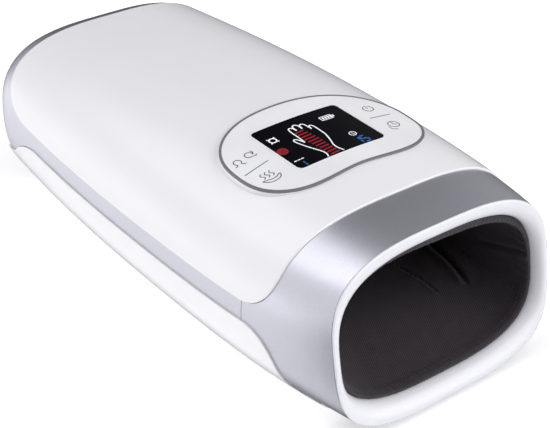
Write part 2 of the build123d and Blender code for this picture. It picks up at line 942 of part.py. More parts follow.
with BuildPart() as display_board_screws:
    with BuildSketch(Plane.XY.offset(display_board_low)):
        with Locations(*display_boss_places):
            Circle(board_screw_diameter / 2)
    extrude(amount=board_thickness * 2)
    with BuildSketch(Plane.XY.offset(display_board_low)):
        with Locations(*display_boss_places):
            Circle(board_screw_head / 2)
    extrude(amount=-board_screw_head_height)
display_board_screws.part.label = "display_board_screws"
export_step(display_board_screws.part, "parts/display_board_screws.step")

# Flat ribbon over the tunnel, from the display board down to the main board
ribbon_y = tunnel_rear_y + ribbon_bend
ribbon_middle_z = ribbon_top - ribbon_thickness / 2
with BuildPart() as ribbon_cable:
    with BuildSketch(Plane.YZ):
        with BuildLine():
            FilletPolyline(
                (plug_y, ribbon_middle_z),
                (ribbon_y, ribbon_middle_z),
                (ribbon_y, main_board_top - ribbon_plug_length),
                radius=ribbon_bend,
            )
        trace(line_width=ribbon_thickness)
    extrude(amount=ribbon_width / 2, both=True)
ribbon_cable.part.label = "ribbon_cable"
export_step(ribbon_cable.part, "parts/ribbon_cable.step")

# Main board behind the tunnel with its larger components
main_board_rear = board_front_y + board_thickness
with BuildPart() as main_board:
    with BuildSketch(across(board_front_y)):
        with Locations((0, (main_board_low + main_board_top) / 2)):
            RectangleRounded(main_board_width, main_board_height, board_boss_diameter / 2)
        with Locations(*main_boss_places):
            Circle(board_screw_diameter / 2 + screw_clearance, mode=Mode.SUBTRACT)
    extrude(amount=-board_thickness)
    with BuildSketch(across(ribbon_y + ribbon_thickness / 2)):
        with Locations((0, main_board_top - ribbon_plug_length / 2 - ribbon_end_overlap / 2)):
            Rectangle(ribbon_width, ribbon_end_overlap)
    extrude(amount=-(board_front_y - ribbon_y - ribbon_thickness / 2))
    with BuildSketch(across(main_board_rear)):
        with Locations((0, chip_z)):
            Rectangle(chip_size, chip_size)
    extrude(amount=-chip_height)
    with BuildSketch(across(main_board_rear)):
        with Locations(*[(x, capacitor_z) for x in capacitor_x_places]):
            Circle(capacitor_diameter / 2)
    extrude(amount=-capacitor_height)
    with BuildSketch(across(main_board_rear)):
        with Locations((battery_plug_x, battery_plug_z)):
            Rectangle(battery_plug_width, battery_plug_height)
    extrude(amount=-battery_plug_height)
main_board.part.label = "main_board"
export_step(main_board.part, "parts/main_board.step")

with BuildPart() as main_board_screws:
    with BuildSketch(across(main_board_rear)):
        with Locations(*main_boss_places):
            Circle(board_screw_diameter / 2)
    extrude(amount=board_thickness + board_thickness)
    with BuildSketch(across(main_board_rear)):
        with Locations(*main_boss_places):
            Circle(board_screw_head / 2)
    extrude(amount=-board_screw_head_height)
main_board_screws.part.label = "main_board_screws"
export_step(main_board_screws.part, "parts/main_board_screws.step")

# Screws that hold base and cover together, and the rubber feet
with BuildPart() as housing_screws:
    seat_z = boss_split_height - screw_seat_web
    with BuildSketch(Plane.XY.offset(seat_z)):
        with Locations(*housing_boss_places):
            Circle(housing_screw_diameter / 2)
    extrude(amount=housing_screw_length)
    with BuildSketch(Plane.XY.offset(seat_z)):
        with Locations(*housing_boss_places):
            Circle(housing_screw_head / 2)
    extrude(amount=-housing_screw_head_height)
housing_screws.part.label = "housing_screws"
export_step(housing_screws.part, "parts/housing_screws.step")

with BuildPart() as rubber_feet:
    with BuildSketch(Plane.XY):
        with Locations(*foot_places):
            Circle(foot_diameter / 2)
    extrude(amount=foot_stand + foot_recess)
    chamfer(rubber_feet.edges().group_by(Axis.Z)[0], foot_edge_round)
rubber_feet.part.label = "rubber_feet"
export_step(rubber_feet.part, "parts/rubber_feet.step")

# Power inlet: a round socket with its centre pin, let into the rear band
with BuildPart() as dc_inlet:
    with BuildSketch(across(half_length)):
        with Locations((0, inlet_z)):
            Circle(inlet_flange / 2)
    extrude(amount=inlet_flange_thickness)
    with BuildSketch(across(half_length)):
        with Locations((0, inlet_z)):
            Circle(inlet_body / 2)
    extrude(amount=inlet_depth)
    with BuildSketch(across(half_length)):
        with Locations((0, inlet_z)):
            Circle(inlet_bore / 2)
            Circle(inlet_pin / 2, mode=Mode.SUBTRACT)
    extrude(amount=inlet_bore_depth, mode=Mode.SUBTRACT)
dc_inlet.part.label = "dc_inlet"
export_step(dc_inlet.part, "parts/dc_inlet.step")


def lengthways(x):
    """Plane across the pump's axis at x, its own x axis along +Y and its y axis up."""
    return Plane(origin=(x, pump_y, pump_z), x_dir=(0, 1, 0), z_dir=(1, 0, 0))


# Pump motor: can, end cap, magnets and bearings
motor_front_x = pump_motor_x + motor_length
can_front_x = motor_front_x - bearing_length
magnet_radius = motor_diameter / 2 - motor_can_wall
rotor_radius = magnet_radius - magnet_thickness - rotor_gap
rotor_front_x = can_front_x - rotor_end_gap
rotor_rear_x = rotor_front_x - rotor_core_length
with BuildPart() as pump_motor_can:
    with BuildSketch(lengthways(pump_motor_x)):
        Circle(motor_diameter / 2)
    extrude(amount=motor_length)
    with BuildSketch(lengthways(pump_motor_x)):
        Circle(magnet_radius)
    extrude(amount=motor_length - bearing_length, mode=Mode.SUBTRACT)
    with BuildSketch(lengthways(can_front_x)):
        Circle(bearing_diameter / 2)
    extrude(amount=bearing_length, mode=Mode.SUBTRACT)
pump_motor_can.part.label = "pump_motor_can"
export_step(pump_motor_can.part, "parts/pump_motor_can.step")

with BuildPart() as motor_end_cap:
    with BuildSketch(lengthways(pump_motor_x)):
        Circle(magnet_radius)
        Circle(bearing_diameter / 2, mode=Mode.SUBTRACT)
    extrude(amount=motor_end_thickness)
    with BuildSketch(lengthways(pump_motor_x)):
        with Locations((-motor_terminal_spread, 0), (motor_terminal_spread, 0)):
            Rectangle(motor_terminal_thickness, motor_terminal_width)
    extrude(amount=-motor_terminal_length)
motor_end_cap.part.label = "motor_end_cap"
export_step(motor_end_cap.part, "parts/motor_end_cap.step")

with BuildPart() as motor_magnets:
    with BuildSketch(lengthways(rotor_rear_x)):
        Circle(magnet_radius)
        Circle(magnet_radius - magnet_thickness, mode=Mode.SUBTRACT)
        Rectangle(motor_diameter, magnet_gap_width, mode=Mode.SUBTRACT)
    extrude(amount=rotor_core_length)
motor_magnets.part.label = "motor_magnets"
export_step(motor_magnets.part, "parts/motor_magnets.step")

with BuildPart() as pump_bearings:
    with BuildSketch(lengthways(pump_motor_x), lengthways(can_front_x)):
        Circle(bearing_diameter / 2)
        Circle(shaft_diameter / 2 + running_clearance, mode=Mode.SUBTRACT)
    extrude(amount=bearing_length)
pump_bearings.part.label = "pump_bearings"
export_step(pump_bearings.part, "parts/pump_bearings.step")

# Rotor: shaft, wound core, commutator and the crank that drives the swash plate
eccentric_x = motor_front_x + eccentric_gap
crank_x = eccentric_x + eccentric_thickness
with BuildPart() as pump_rotor:
    with BuildSketch(lengthways(pump_motor_x)):
        Circle(shaft_diameter / 2)
    extrude(amount=crank_x - pump_motor_x)
    with BuildSketch(lengthways(rotor_rear_x)):
        Circle(rotor_radius)
        with PolarLocations(rotor_radius, rotor_slot_count):
            Rectangle(rotor_slot_depth * 2, rotor_slot_width, mode=Mode.SUBTRACT)
    extrude(amount=rotor_core_length)
    with BuildSketch(lengthways(rotor_rear_x - commutator_length)):
        Circle(commutator_diameter / 2)
    extrude(amount=commutator_length)
    with BuildSketch(lengthways(eccentric_x)):
        Circle(eccentric_diameter / 2)
    extrude(amount=eccentric_thickness)
    with BuildSketch(lengthways(crank_x)):
        with Locations((crank_offset, 0)):
            Circle(crank_pin_diameter / 2)
    extrude(amount=crank_pin_length)
pump_rotor.part.label = "pump_rotor"
export_step(pump_rotor.part, "parts/pump_rotor.step")

# Four screws that hold head and diaphragm on the crankcase, and the holes they go in
crankcase_end_x = motor_front_x + crankcase_length
head_x = crankcase_end_x + diaphragm_thickness
head_end_x = head_x + pump_head_length
pump_screw_spread = crankcase_size - 2 * pump_screw_edge
with BuildPart() as pump_screw_holes:
    with BuildSketch(lengthways(head_end_x)):
        with GridLocations(pump_screw_spread, pump_screw_spread, 2, 2):
            Circle(pump_screw_diameter / 2 + screw_clearance)
    extrude(amount=crankcase_end_x - head_end_x - pump_screw_depth)

with BuildPart() as pump_screws:
    with BuildSketch(lengthways(head_end_x)):
        with GridLocations(pump_screw_spread, pump_screw_spread, 2, 2):
            Circle(pump_screw_diameter / 2)
    extrude(amount=crankcase_end_x - head_end_x - pump_screw_depth)
    with BuildSketch(lengthways(head_end_x)):
        with GridLocations(pump_screw_spread, pump_screw_spread, 2, 2):
            Circle(pump_screw_head / 2)
    extrude(amount=pump_screw_head_height)
pump_screws.part.label = "pump_screws"
export_step(pump_screws.part, "parts/pump_screws.step")

# Pump: crankcase, swash plate, three-cup diaphragm and head with its nozzle
with BuildPart() as crankcase:
    with BuildSketch(lengthways(motor_front_x)):
        RectangleRounded(crankcase_size, crankcase_size, crankcase_corner)
    extrude(amount=crankcase_length)
    with BuildSketch(lengthways(motor_front_x + crankcase_wall)):
        Circle(crankcase_bore / 2)
    extrude(amount=crankcase_length, mode=Mode.SUBTRACT)
    with BuildSketch(lengthways(motor_front_x)):
        Circle(eccentric_diameter / 2 + eccentric_gap)
    extrude(amount=crankcase_wall, mode=Mode.SUBTRACT)
    add(pump_screw_holes.part, mode=Mode.SUBTRACT)
crankcase.part.label = "crankcase"
export_step(crankcase.part, "parts/crankcase.step")

cup_inner_radius = crank_offset + crank_pin_diameter / 2 + swash_cup_gap
swash_x = crank_x + crank_pin_length + swash_cup_gap
with BuildPart() as swash_plate:
    with BuildSketch(lengthways(crank_x + swash_cup_gap)):
        Circle(cup_inner_radius + swash_cup_wall)
        Circle(cup_inner_radius, mode=Mode.SUBTRACT)
    extrude(amount=crank_pin_length)
    with BuildSketch(lengthways(swash_x)):
        Circle(swash_diameter / 2)
    extrude(amount=swash_thickness)
swash_plate.part.label = "swash_plate"
export_step(swash_plate.part, "parts/swash_plate.step")

with BuildPart() as diaphragm:
    with BuildSketch(lengthways(crankcase_end_x)):
        RectangleRounded(crankcase_size, crankcase_size, crankcase_corner)
    extrude(amount=diaphragm_thickness)
    with BuildSketch(lengthways(swash_x + swash_thickness)):
        with PolarLocations(diaphragm_cup_spread, diaphragm_cup_count):
            Circle(diaphragm_cup_diameter / 2)
    extrude(amount=crankcase_end_x - swash_x - swash_thickness)
    with BuildSketch(lengthways(swash_x + swash_thickness + diaphragm_cup_wall)):
        with PolarLocations(diaphragm_cup_spread, diaphragm_cup_count):
            Circle(diaphragm_cup_diameter / 2 - diaphragm_cup_wall)
    extrude(amount=head_x - swash_x, mode=Mode.SUBTRACT)
    add(pump_screw_holes.part, mode=Mode.SUBTRACT)
diaphragm.part.label = "diaphragm"
export_step(diaphragm.part, "parts/diaphragm.step")

with BuildPart() as pump_head:
    with BuildSketch(lengthways(head_x)):
        RectangleRounded(crankcase_size, crankcase_size, crankcase_corner)
    extrude(amount=pump_head_length)
    fillet(pump_head.faces().sort_by(Axis.X)[-1].edges(), crankcase_edge_round)
    with BuildSketch(lengthways(head_end_x)):
        Circle(tube_bore / 2)
    extrude(amount=nozzle_length)
    with BuildSketch(lengthways(head_x)):
        Circle(diaphragm_cup_spread + diaphragm_cup_diameter / 2)
    extrude(amount=pump_head_length / 2, mode=Mode.SUBTRACT)
    with BuildSketch(lengthways(head_x)):
        Circle(nozzle_bore / 2)
    extrude(amount=pump_head_length + nozzle_length, mode=Mode.SUBTRACT)
    add(pump_screw_holes.part, mode=Mode.SUBTRACT)
pump_head.part.label = "pump_head"
export_step(pump_head.part, "parts/pump_head.step")


# Rubber-faced cradle that carries the pump on the base's floor
cradle_block_x = motor_front_x + (crankcase_length - cradle_length) / 2
cradle_saddle_x = pump_motor_x + cradle_length / 2
with BuildPart() as pump_cradle:
    with BuildSketch(Plane.XY.offset(floor_z)):
        with Locations((cradle_saddle_x, pump_y)):
            Rectangle(
                cradle_block_x + cradle_length - cradle_saddle_x,
                cradle_width,
                align=(Align.MIN, Align.CENTER),
            )
    extrude(amount=cradle_plate)
    with BuildSketch(Plane.XY.offset(floor_z)):
        with Locations((cradle_saddle_x, pump_y), (cradle_block_x, pump_y)):
            Rectangle(cradle_length, cradle_width, align=(Align.MIN, Align.CENTER))
    extrude(amount=pump_z - cradle_saddle_drop - floor_z)
    with BuildSketch(lengthways(cradle_block_x)):
        Rectangle(crankcase_size, crankcase_size)
    extrude(amount=cradle_length, mode=Mode.SUBTRACT)
    with BuildSketch(lengthways(cradle_saddle_x)):
        Circle(motor_diameter / 2)
    extrude(amount=cradle_length, mode=Mode.SUBTRACT)
pump_cradle.part.label = "pump_cradle"
export_step(pump_cradle.part, "parts/pump_cradle.step")

# Valve manifold on the tunnel's rear wall, with a channel that clears the ribbon
manifold_y = tunnel_rear_y + manifold_length / 2
manifold_face_y = tunnel_rear_y + manifold_length
manifold_low = valve_z - manifold_height / 2
manifold_top = valve_z + manifold_height / 2
manifold_half_width = valve_spacing + manifold_margin
lower_tube_y = (tunnel_rear_y + board_front_y) / 2
valve_x_places = [(i - (valve_count - 1) / 2) * valve_spacing for i in range(valve_count)]
with BuildPart() as valve_manifold:
    with BuildSketch(Plane.XY.offset(manifold_low)):
        with Locations((0, manifold_y)):
            RectangleRounded(2 * manifold_half_width, manifold_length, manifold_corner)
        with Locations((0, tunnel_rear_y)):
            Rectangle(ribbon_width + 2 * fit_gap, ribbon_channel_depth * 2, mode=Mode.SUBTRACT)
    extrude(amount=manifold_height)
    with BuildSketch(Plane.YZ.offset(valve_x_places[0])):
        with Locations((manifold_y, valve_z)):
            Circle(valve_port_bore / 2)
    extrude(amount=manifold_half_width - valve_x_places[0], mode=Mode.SUBTRACT)
    with BuildSketch(Plane.YZ.offset(manifold_half_width)):
        with Locations((manifold_y, valve_z)):
            Circle(tube_diameter / 2)
    extrude(amount=-tube_grip, mode=Mode.SUBTRACT)
    with BuildSketch(across(manifold_face_y)):
        with Locations(*[(x, valve_z) for x in valve_x_places]):
            Circle(valve_port_bore / 2)
    extrude(amount=manifold_length / 2, mode=Mode.SUBTRACT)
    with BuildSketch(Plane.XY.offset(manifold_top)):
        with Locations((valve_x_places[0], manifold_y)):
            Circle(tube_diameter / 2)
    extrude(amount=-tube_grip, mode=Mode.SUBTRACT)
    with BuildSketch(Plane.XY.offset(manifold_low)):
        with Locations((valve_x_places[-1], lower_tube_y)):
            Circle(tube_diameter / 2)
    extrude(amount=tube_grip, mode=Mode.SUBTRACT)
valve_manifold.part.label = "valve_manifold"
export_step(valve_manifold.part, "parts/valve_manifold.step")

# Valve bodies: three identical solenoids on the manifold's rear face
plunger_front_y = manifold_face_y + plunger_clearance
plunger_bore_length = plunger_length + plunger_stroke + plunger_spring_room
with BuildPart() as valve_bodies:
    with BuildSketch(across(manifold_face_y)):
        for x in valve_x_places:
            with Locations((x, valve_z)):
                RectangleRounded(valve_size, valve_size, manifold_corner)
    extrude(amount=-valve_length)
    with BuildSketch(across(manifold_face_y)):
        for x in valve_x_places:
            with Locations((x, valve_z)):
                Circle(plunger_diameter / 2 + plunger_clearance)
    extrude(amount=-plunger_bore_length, mode=Mode.SUBTRACT)
valve_bodies.part.label = "valve_bodies"
export_step(valve_bodies.part, "parts/valve_bodies.step")


def valve_plunger(x):
    """One valve's plunger: a round core with a narrower sealing nose."""
    with BuildPart() as plunger:
        with BuildSketch(across(plunger_front_y)):
            with Locations((x, valve_z)):
                Circle(plunger_nose / 2)
        extrude(amount=-plunger_length)
        with BuildSketch(across(plunger_front_y + plunger_nose_length)):
            with Locations((x, valve_z)):
                Circle(plunger_diameter / 2)
        extrude(amount=plunger_nose_length - plunger_length)
    return plunger.part


with BuildPart() as upper_valve_plunger:
    add(valve_plunger(valve_x_places[0]))
upper_valve_plunger.part.label = "upper_valve_plunger"
export_step(upper_valve_plunger.part, "parts/upper_valve_plunger.step")

with BuildPart() as relief_valve_plunger:
    add(valve_plunger(valve_x_places[1]))
relief_valve_plunger.part.label = "relief_valve_plunger"
export_step(relief_valve_plunger.part, "parts/relief_valve_plunger.step")

with BuildPart() as lower_valve_plunger:
    add(valve_plunger(valve_x_places[2]))
lower_valve_plunger.part.label = "lower_valve_plunger"
export_step(lower_valve_plunger.part, "parts/lower_valve_plunger.step")

# Air tubes from the pump to the manifold and from there to the two air bags
with BuildPart() as pump_tube:
    with BuildLine() as pump_route:
        FilletPolyline(
            (head_end_x + tube_head_gap, pump_y, pump_z),
            (pump_tube_x, pump_y, pump_z),
            (pump_tube_x, pump_y, valve_z),
            (pump_tube_x, manifold_y, valve_z),
            (manifold_half_width - tube_grip, manifold_y, valve_z),
            radius=tube_bend,
        )
    with BuildSketch(Plane(origin=pump_route.line @ 0, z_dir=pump_route.line % 0)):
        Circle(tube_diameter / 2)
        Circle(tube_bore / 2, mode=Mode.SUBTRACT)
    sweep()
pump_tube.part.label = "pump_tube"
export_step(pump_tube.part, "parts/pump_tube.step")

with BuildPart() as upper_air_tube:
    with BuildLine() as upper_route:
        FilletPolyline(
            (valve_x_places[0], manifold_y, manifold_top - tube_grip),
            (valve_x_places[0], manifold_y, upper_tube_z),
            (valve_x_places[0], airbag_rear_y, upper_tube_z),
            radius=tube_tight_bend,
        )
    with BuildSketch(Plane(origin=upper_route.line @ 0, z_dir=upper_route.line % 0)):
        Circle(tube_diameter / 2)
        Circle(tube_bore / 2, mode=Mode.SUBTRACT)
    sweep()
upper_air_tube.part.label = "upper_air_tube"
export_step(upper_air_tube.part, "parts/upper_air_tube.step")

with BuildPart() as lower_air_tube:
    with BuildLine() as lower_route:
        FilletPolyline(
            (valve_x_places[-1], lower_tube_y, manifold_low + tube_grip),
            (valve_x_places[-1], lower_tube_y, lower_tube_z),
            (valve_x_places[-1], airbag_rear_y, lower_tube_z),
            radius=tube_tight_bend,
        )
    with BuildSketch(Plane(origin=lower_route.line @ 0, z_dir=lower_route.line % 0)):
        Circle(tube_diameter / 2)
        Circle(tube_bore / 2, mode=Mode.SUBTRACT)
    sweep()
lower_air_tube.part.label = "lower_air_tube"
export_step(lower_air_tube.part, "parts/lower_air_tube.step")

# Battery: two round cells lying across the tail in an open tray
cell_z = floor_z + tray_floor + cell_diameter / 2
cell_y_places = (cell_front_y, cell_front_y + cell_pitch)
with BuildPart() as battery_cells:
    with BuildSketch(Plane.YZ.offset(-cell_length / 2)):
        for y in cell_y_places:
            with Locations((y, cell_z)):
                Circle(cell_diameter / 2)
    extrude(amount=cell_length)
    chamfer(battery_cells.edges().filter_by(GeomType.CIRCLE), cell_edge_round)
battery_cells.part.label = "battery_cells"
export_step(battery_cells.part, "parts/battery_cells.step")

tray_length = cell_length + 2 * fit_gap + 2 * tray_wall
tray_depth = cell_pitch + cell_diameter + 2 * fit_gap + 2 * tray_wall
tray_y = cell_front_y + cell_pitch / 2
with BuildPart() as battery_tray:
    with BuildSketch(Plane.XY.offset(floor_z)):
        with Locations((0, tray_y)):
            RectangleRounded(tray_length, tray_depth, tray_wall)
    extrude(amount=tray_rise)
    with BuildSketch(Plane.XY.offset(floor_z + tray_floor)):
        with Locations((0, tray_y)):
            Rectangle(tray_length - 2 * tray_wall, tray_depth - 2 * tray_wall)
    extrude(amount=tray_rise, mode=Mode.SUBTRACT)
battery_tray.part.label = "battery_tray"
export_step(battery_tray.part, "parts/battery_tray.step")
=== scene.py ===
import json
import math

import bpy
import numpy as np
from mathutils import Matrix, Vector


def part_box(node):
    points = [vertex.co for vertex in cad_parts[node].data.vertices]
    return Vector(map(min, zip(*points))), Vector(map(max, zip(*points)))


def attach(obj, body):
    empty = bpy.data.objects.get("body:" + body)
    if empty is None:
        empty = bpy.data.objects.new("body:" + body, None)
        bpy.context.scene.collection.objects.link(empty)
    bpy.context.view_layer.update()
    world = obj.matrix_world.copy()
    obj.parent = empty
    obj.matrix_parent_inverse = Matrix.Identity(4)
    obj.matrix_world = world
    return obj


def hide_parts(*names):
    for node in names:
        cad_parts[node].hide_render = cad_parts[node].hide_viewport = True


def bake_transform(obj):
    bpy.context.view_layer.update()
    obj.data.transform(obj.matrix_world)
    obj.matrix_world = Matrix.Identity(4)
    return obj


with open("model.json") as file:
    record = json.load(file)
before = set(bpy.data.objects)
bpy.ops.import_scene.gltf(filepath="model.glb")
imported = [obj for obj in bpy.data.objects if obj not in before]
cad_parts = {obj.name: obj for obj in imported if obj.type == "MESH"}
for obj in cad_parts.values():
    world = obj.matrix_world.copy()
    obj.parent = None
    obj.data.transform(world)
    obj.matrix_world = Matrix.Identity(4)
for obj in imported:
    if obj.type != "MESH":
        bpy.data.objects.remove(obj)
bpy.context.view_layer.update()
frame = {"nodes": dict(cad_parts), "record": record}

# Lengths below are millimetres in the part's own frame. Meshes are written in metres.
MM = 0.001
SEED = 11

# Camera found from the photograph, in metres: its place and the direction out of its back
CAMERA_PLACE = (-0.38573, -0.53224, 0.43506)
CAMERA_BACK = (-0.51230, -0.67664, 0.52887)
CAMERA_ROLL = math.radians(-0.091)
CAMERA_LENS = 88.75
CAMERA_SENSOR = 36.0
CAMERA_NEAR = 0.01


# Materials

def node_material(name, base, roughness, metallic=0.0):
    """A material with its node tree's shader, nodes and links at hand."""
    material = bpy.data.materials.new(name)
    material.use_nodes = True
    nodes, links = material.node_tree.nodes, material.node_tree.links
    shader = nodes["Principled BSDF"]
    shader.inputs["Base Color"].default_value = (*base, 1.0)
    shader.inputs["Roughness"].default_value = roughness
    shader.inputs["Metallic"].default_value = metallic
    return material, shader, nodes, links


def noise_of(nodes, links, scale, detail=3.0, stretch=(1.0, 1.0, 1.0)):
    """Noise over the object's own coordinates, in metres; stretch squeezes it along an axis."""
    place = nodes.new("ShaderNodeTexCoord")
    mapping = nodes.new("ShaderNodeMapping")
    mapping.inputs["Scale"].default_value = stretch
    noise = nodes.new("ShaderNodeTexNoise")
    noise.inputs["Scale"].default_value = scale
    noise.inputs["Detail"].default_value = detail
    links.new(place.outputs["Object"], mapping.inputs["Vector"])
    links.new(mapping.outputs["Vector"], noise.inputs["Vector"])
    return noise.outputs["Fac"]


def tinted(nodes, links, shader, factor, low, high, dark, light):
    """Base colour that wanders between two tints with the factor."""
    ramp = nodes.new("ShaderNodeValToRGB")
    ramp.color_ramp.elements[0].position = low
    ramp.color_ramp.elements[0].color = (*dark, 1.0)
    ramp.color_ramp.elements[1].position = high
    ramp.color_ramp.elements[1].color = (*light, 1.0)
    links.new(factor, ramp.inputs["Fac"])
    links.new(ramp.outputs["Color"], shader.inputs["Base Color"])


def rough_between(nodes, links, shader, factor, low, high):
    """Roughness that varies between two values with the factor."""
    span = nodes.new("ShaderNodeMapRange")
    span.inputs["To Min"].default_value = low
    span.inputs["To Max"].default_value = high
    links.new(factor, span.inputs["Value"])
    links.new(span.outputs["Result"], shader.inputs["Roughness"])


def bumped(nodes, links, shader, height, strength, distance):
    """Bump from a height, distance in metres."""
    bump = nodes.new("ShaderNodeBump")
    bump.inputs["Strength"].default_value = strength
    bump.inputs["Distance"].default_value = distance
    links.new(height, bump.inputs["Height"])
    links.new(bump.outputs["Normal"], shader.inputs["Normal"])


def moulded(name, base, roughness, grain=900.0, spread=0.04, depth=0.00002, metallic=0.0, strength=0.25):
    """Moulded plastic, rubber or plated metal: faint tint drift, uneven gloss and fine grain."""
    material, shader, nodes, links = node_material(name, base, roughness, metallic)
    slow = noise_of(nodes, links, 30.0)
    fine = noise_of(nodes, links, grain)
    dark = tuple(c * (1 - spread) for c in base)
    light = tuple(min(1.0, c * (1 + spread)) for c in base)
    tinted(nodes, links, shader, slow, 0.3, 0.7, dark, light)
    rough_between(nodes, links, shader, fine, max(0.02, roughness - 0.05), min(1.0, roughness + 0.05))
    bumped(nodes, links, shader, fine, strength, depth)
    return material


def painted_silver(name, base):
    """Silver paint: metal flakes with a slight sparkle under a thin clear coat."""
    material, shader, nodes, links = node_material(name, base, 0.34, 0.82)
    shader.inputs["Coat Weight"].default_value = 0.25
    shader.inputs["Coat Roughness"].default_value = 0.12
    flake = noise_of(nodes, links, 5200.0, 1.0)
    dark = tuple(c * 0.9 for c in base)
    light = tuple(min(1.0, c * 1.1) for c in base)
    tinted(nodes, links, shader, flake, 0.35, 0.65, dark, light)
    rough_between(nodes, links, shader, flake, 0.30, 0.40)
    bumped(nodes, links, shader, flake, 0.10, 0.00001)
    return material


def glossy_white(name, base, roughness):
    """Gloss white moulding: a faint orange peel under a clear top surface."""
    material, shader, nodes, links = node_material(name, base, roughness)
    shader.inputs["Coat Weight"].default_value = 0.35
    shader.inputs["Coat Roughness"].default_value = 0.06
    peel = noise_of(nodes, links, 420.0)
    slow = noise_of(nodes, links, 18.0)
    tinted(nodes, links, shader, slow, 0.3, 0.7, tuple(c * 0.985 for c in base), base)
    rough_between(nodes, links, shader, peel, roughness - 0.04, roughness + 0.04)
    bumped(nodes, links, shader, peel, 0.06, 0.00002)
    return material


def wave_of(nodes, links, place, turns_per_metre):
    """Even ripples, 0 to 1, over the cloth's own coordinates."""
    along = nodes.new("ShaderNodeVectorMath")
    along.operation = "DOT_PRODUCT"
    along.inputs[1].default_value = tuple(2 * math.pi * turns for turns in turns_per_metre) + (0.0,)
    ripple = nodes.new("ShaderNodeMath")
    ripple.operation = "SINE"
    span = nodes.new("ShaderNodeMapRange")
    span.inputs["From Min"].default_value = -1.0
    links.new(place, along.inputs[0])
    links.new(along.outputs["Value"], ripple.inputs[0])
    links.new(ripple.outputs["Value"], span.inputs["Value"])
    return span.outputs["Result"]


# Ripples of the knit in turns per metre, across and along the cloth
WALES = (820.0, -300.0)
COURSES = (400.0, 1090.0)
COURSE_SHARE = 0.45
KNIT_DEPTH = 0.00018


def knitted(name, dark, light):
    """Fine knitted cloth: diagonal wales crossed by courses, with a soft fuzz."""
    material, shader, nodes, links = node_material(name, light, 0.9)
    shader.inputs["Sheen Weight"].default_value = 0.10
    shader.inputs["Sheen Roughness"].default_value = 0.5
    cloth_place = nodes.new("ShaderNodeUVMap")
    cloth_place.uv_map = "cloth"
    wale = wave_of(nodes, links, cloth_place.outputs["UV"], WALES)
    course = wave_of(nodes, links, cloth_place.outputs["UV"], COURSES)
    broken = nodes.new("ShaderNodeMath")
    broken.operation = "MULTIPLY_ADD"
    broken.inputs[1].default_value = COURSE_SHARE
    broken.inputs[2].default_value = 1.0 - COURSE_SHARE
    loops = nodes.new("ShaderNodeMath")
    loops.operation = "MULTIPLY"
    links.new(course, broken.inputs[0])
    links.new(wale, loops.inputs[0])
    links.new(broken.outputs["Value"], loops.inputs[1])
    blotch = noise_of(nodes, links, 160.0, 2.0)
    height = nodes.new("ShaderNodeMath")
    height.operation = "MULTIPLY_ADD"
    height.inputs[1].default_value = 0.35
    links.new(blotch, height.inputs[0])
    links.new(loops.outputs["Value"], height.inputs[2])
    tinted(nodes, links, shader, height.outputs["Value"], 0.10, 0.95, dark, light)
    rough_between(nodes, links, shader, loops.outputs["Value"], 0.95, 0.82)
    bumped(nodes, links, shader, loops.outputs["Value"], 0.6, KNIT_DEPTH)
    return material


MATERIALS = {
    "gloss_white": glossy_white("cover_gloss_white", (0.91, 0.905, 0.925), 0.24),
    "base_white": glossy_white("base_gloss_white", (0.93, 0.925, 0.94), 0.30),
    "silver_paint": painted_silver("silver_paint", (0.60, 0.60, 0.665)),
    "bezel_white": glossy_white("bezel_white", (0.80, 0.80, 0.84), 0.26),
    "inner_plastic": moulded("inner_plastic", (0.62, 0.62, 0.60), 0.50, 500.0),
    "lining_fabric": knitted("lining_fabric", (0.006, 0.004, 0.006), (0.050, 0.040, 0.048)),
    "pad_foam": moulded("pad_foam", (0.10, 0.10, 0.11), 0.92, 1400.0, 0.25, 0.0003, strength=0.6),
    "heating_film": moulded("heating_film", (0.55, 0.28, 0.08), 0.42, 300.0, 0.12),
    "airbag_film": moulded("airbag_film", (0.42, 0.44, 0.47), 0.35, 250.0, 0.08),
    "panel_silver": moulded("panel_silver", (0.92, 0.925, 0.935), 0.36, 5200.0, 0.04, 0.00001, 0.05),
    "trim_grey": moulded("trim_grey", (0.19, 0.19, 0.20), 0.34, 900.0),
    "window_glass": moulded("window_glass", (0.006, 0.006, 0.008), 0.12, 300.0, 0.2, 0.000004),
    "display_black": moulded("display_black", (0.010, 0.010, 0.012), 0.30, 600.0),
    "circuit_board": moulded("circuit_board", (0.02, 0.14, 0.05), 0.40, 700.0, 0.2),
    "touch_rubber": moulded("touch_rubber", (0.15, 0.15, 0.15), 0.70, 900.0, 0.1),
    "screw_steel": moulded("screw_steel", (0.56, 0.56, 0.55), 0.32, 1200.0, 0.06, 0.00002, 1.0),
    "ribbon": moulded("ribbon", (0.66, 0.66, 0.64), 0.45, 400.0, 0.08),
    "foot_rubber": moulded("foot_rubber", (0.20, 0.20, 0.21), 0.75, 1100.0, 0.10, 0.00004),
    "inlet_black": moulded("inlet_black", (0.025, 0.025, 0.027), 0.45, 1000.0, 0.10),
    "motor_steel": moulded("motor_steel", (0.50, 0.50, 0.51), 0.36, 900.0, 0.06, 0.00002, 1.0),
    "magnet_iron": moulded("magnet_iron", (0.08, 0.08, 0.08), 0.60, 700.0, 0.2),
    "bearing_brass": moulded("bearing_brass", (0.60, 0.42, 0.16), 0.38, 900.0, 0.08, 0.00002, 1.0),
    "tube_rubber": moulded("tube_rubber", (0.72, 0.72, 0.69), 0.42, 300.0, 0.05),
    "cell_wrap": moulded("cell_wrap", (0.05, 0.17, 0.42), 0.32, 300.0, 0.08),
}


def finish_nodes():
    """Gives each node the material that its slot in the record names."""
    for row in frame["record"]["subparts"]:
        finish = MATERIALS[row["material_slot"]]
        body = frame["nodes"][row["node"]]
        for place in body.material_slots:
            place.material = finish
        if not body.material_slots:
            body.data.materials.append(finish)


finish_nodes()


# Outlines and meshes

def mix(a, b, share):
    return a + (b - a) * share


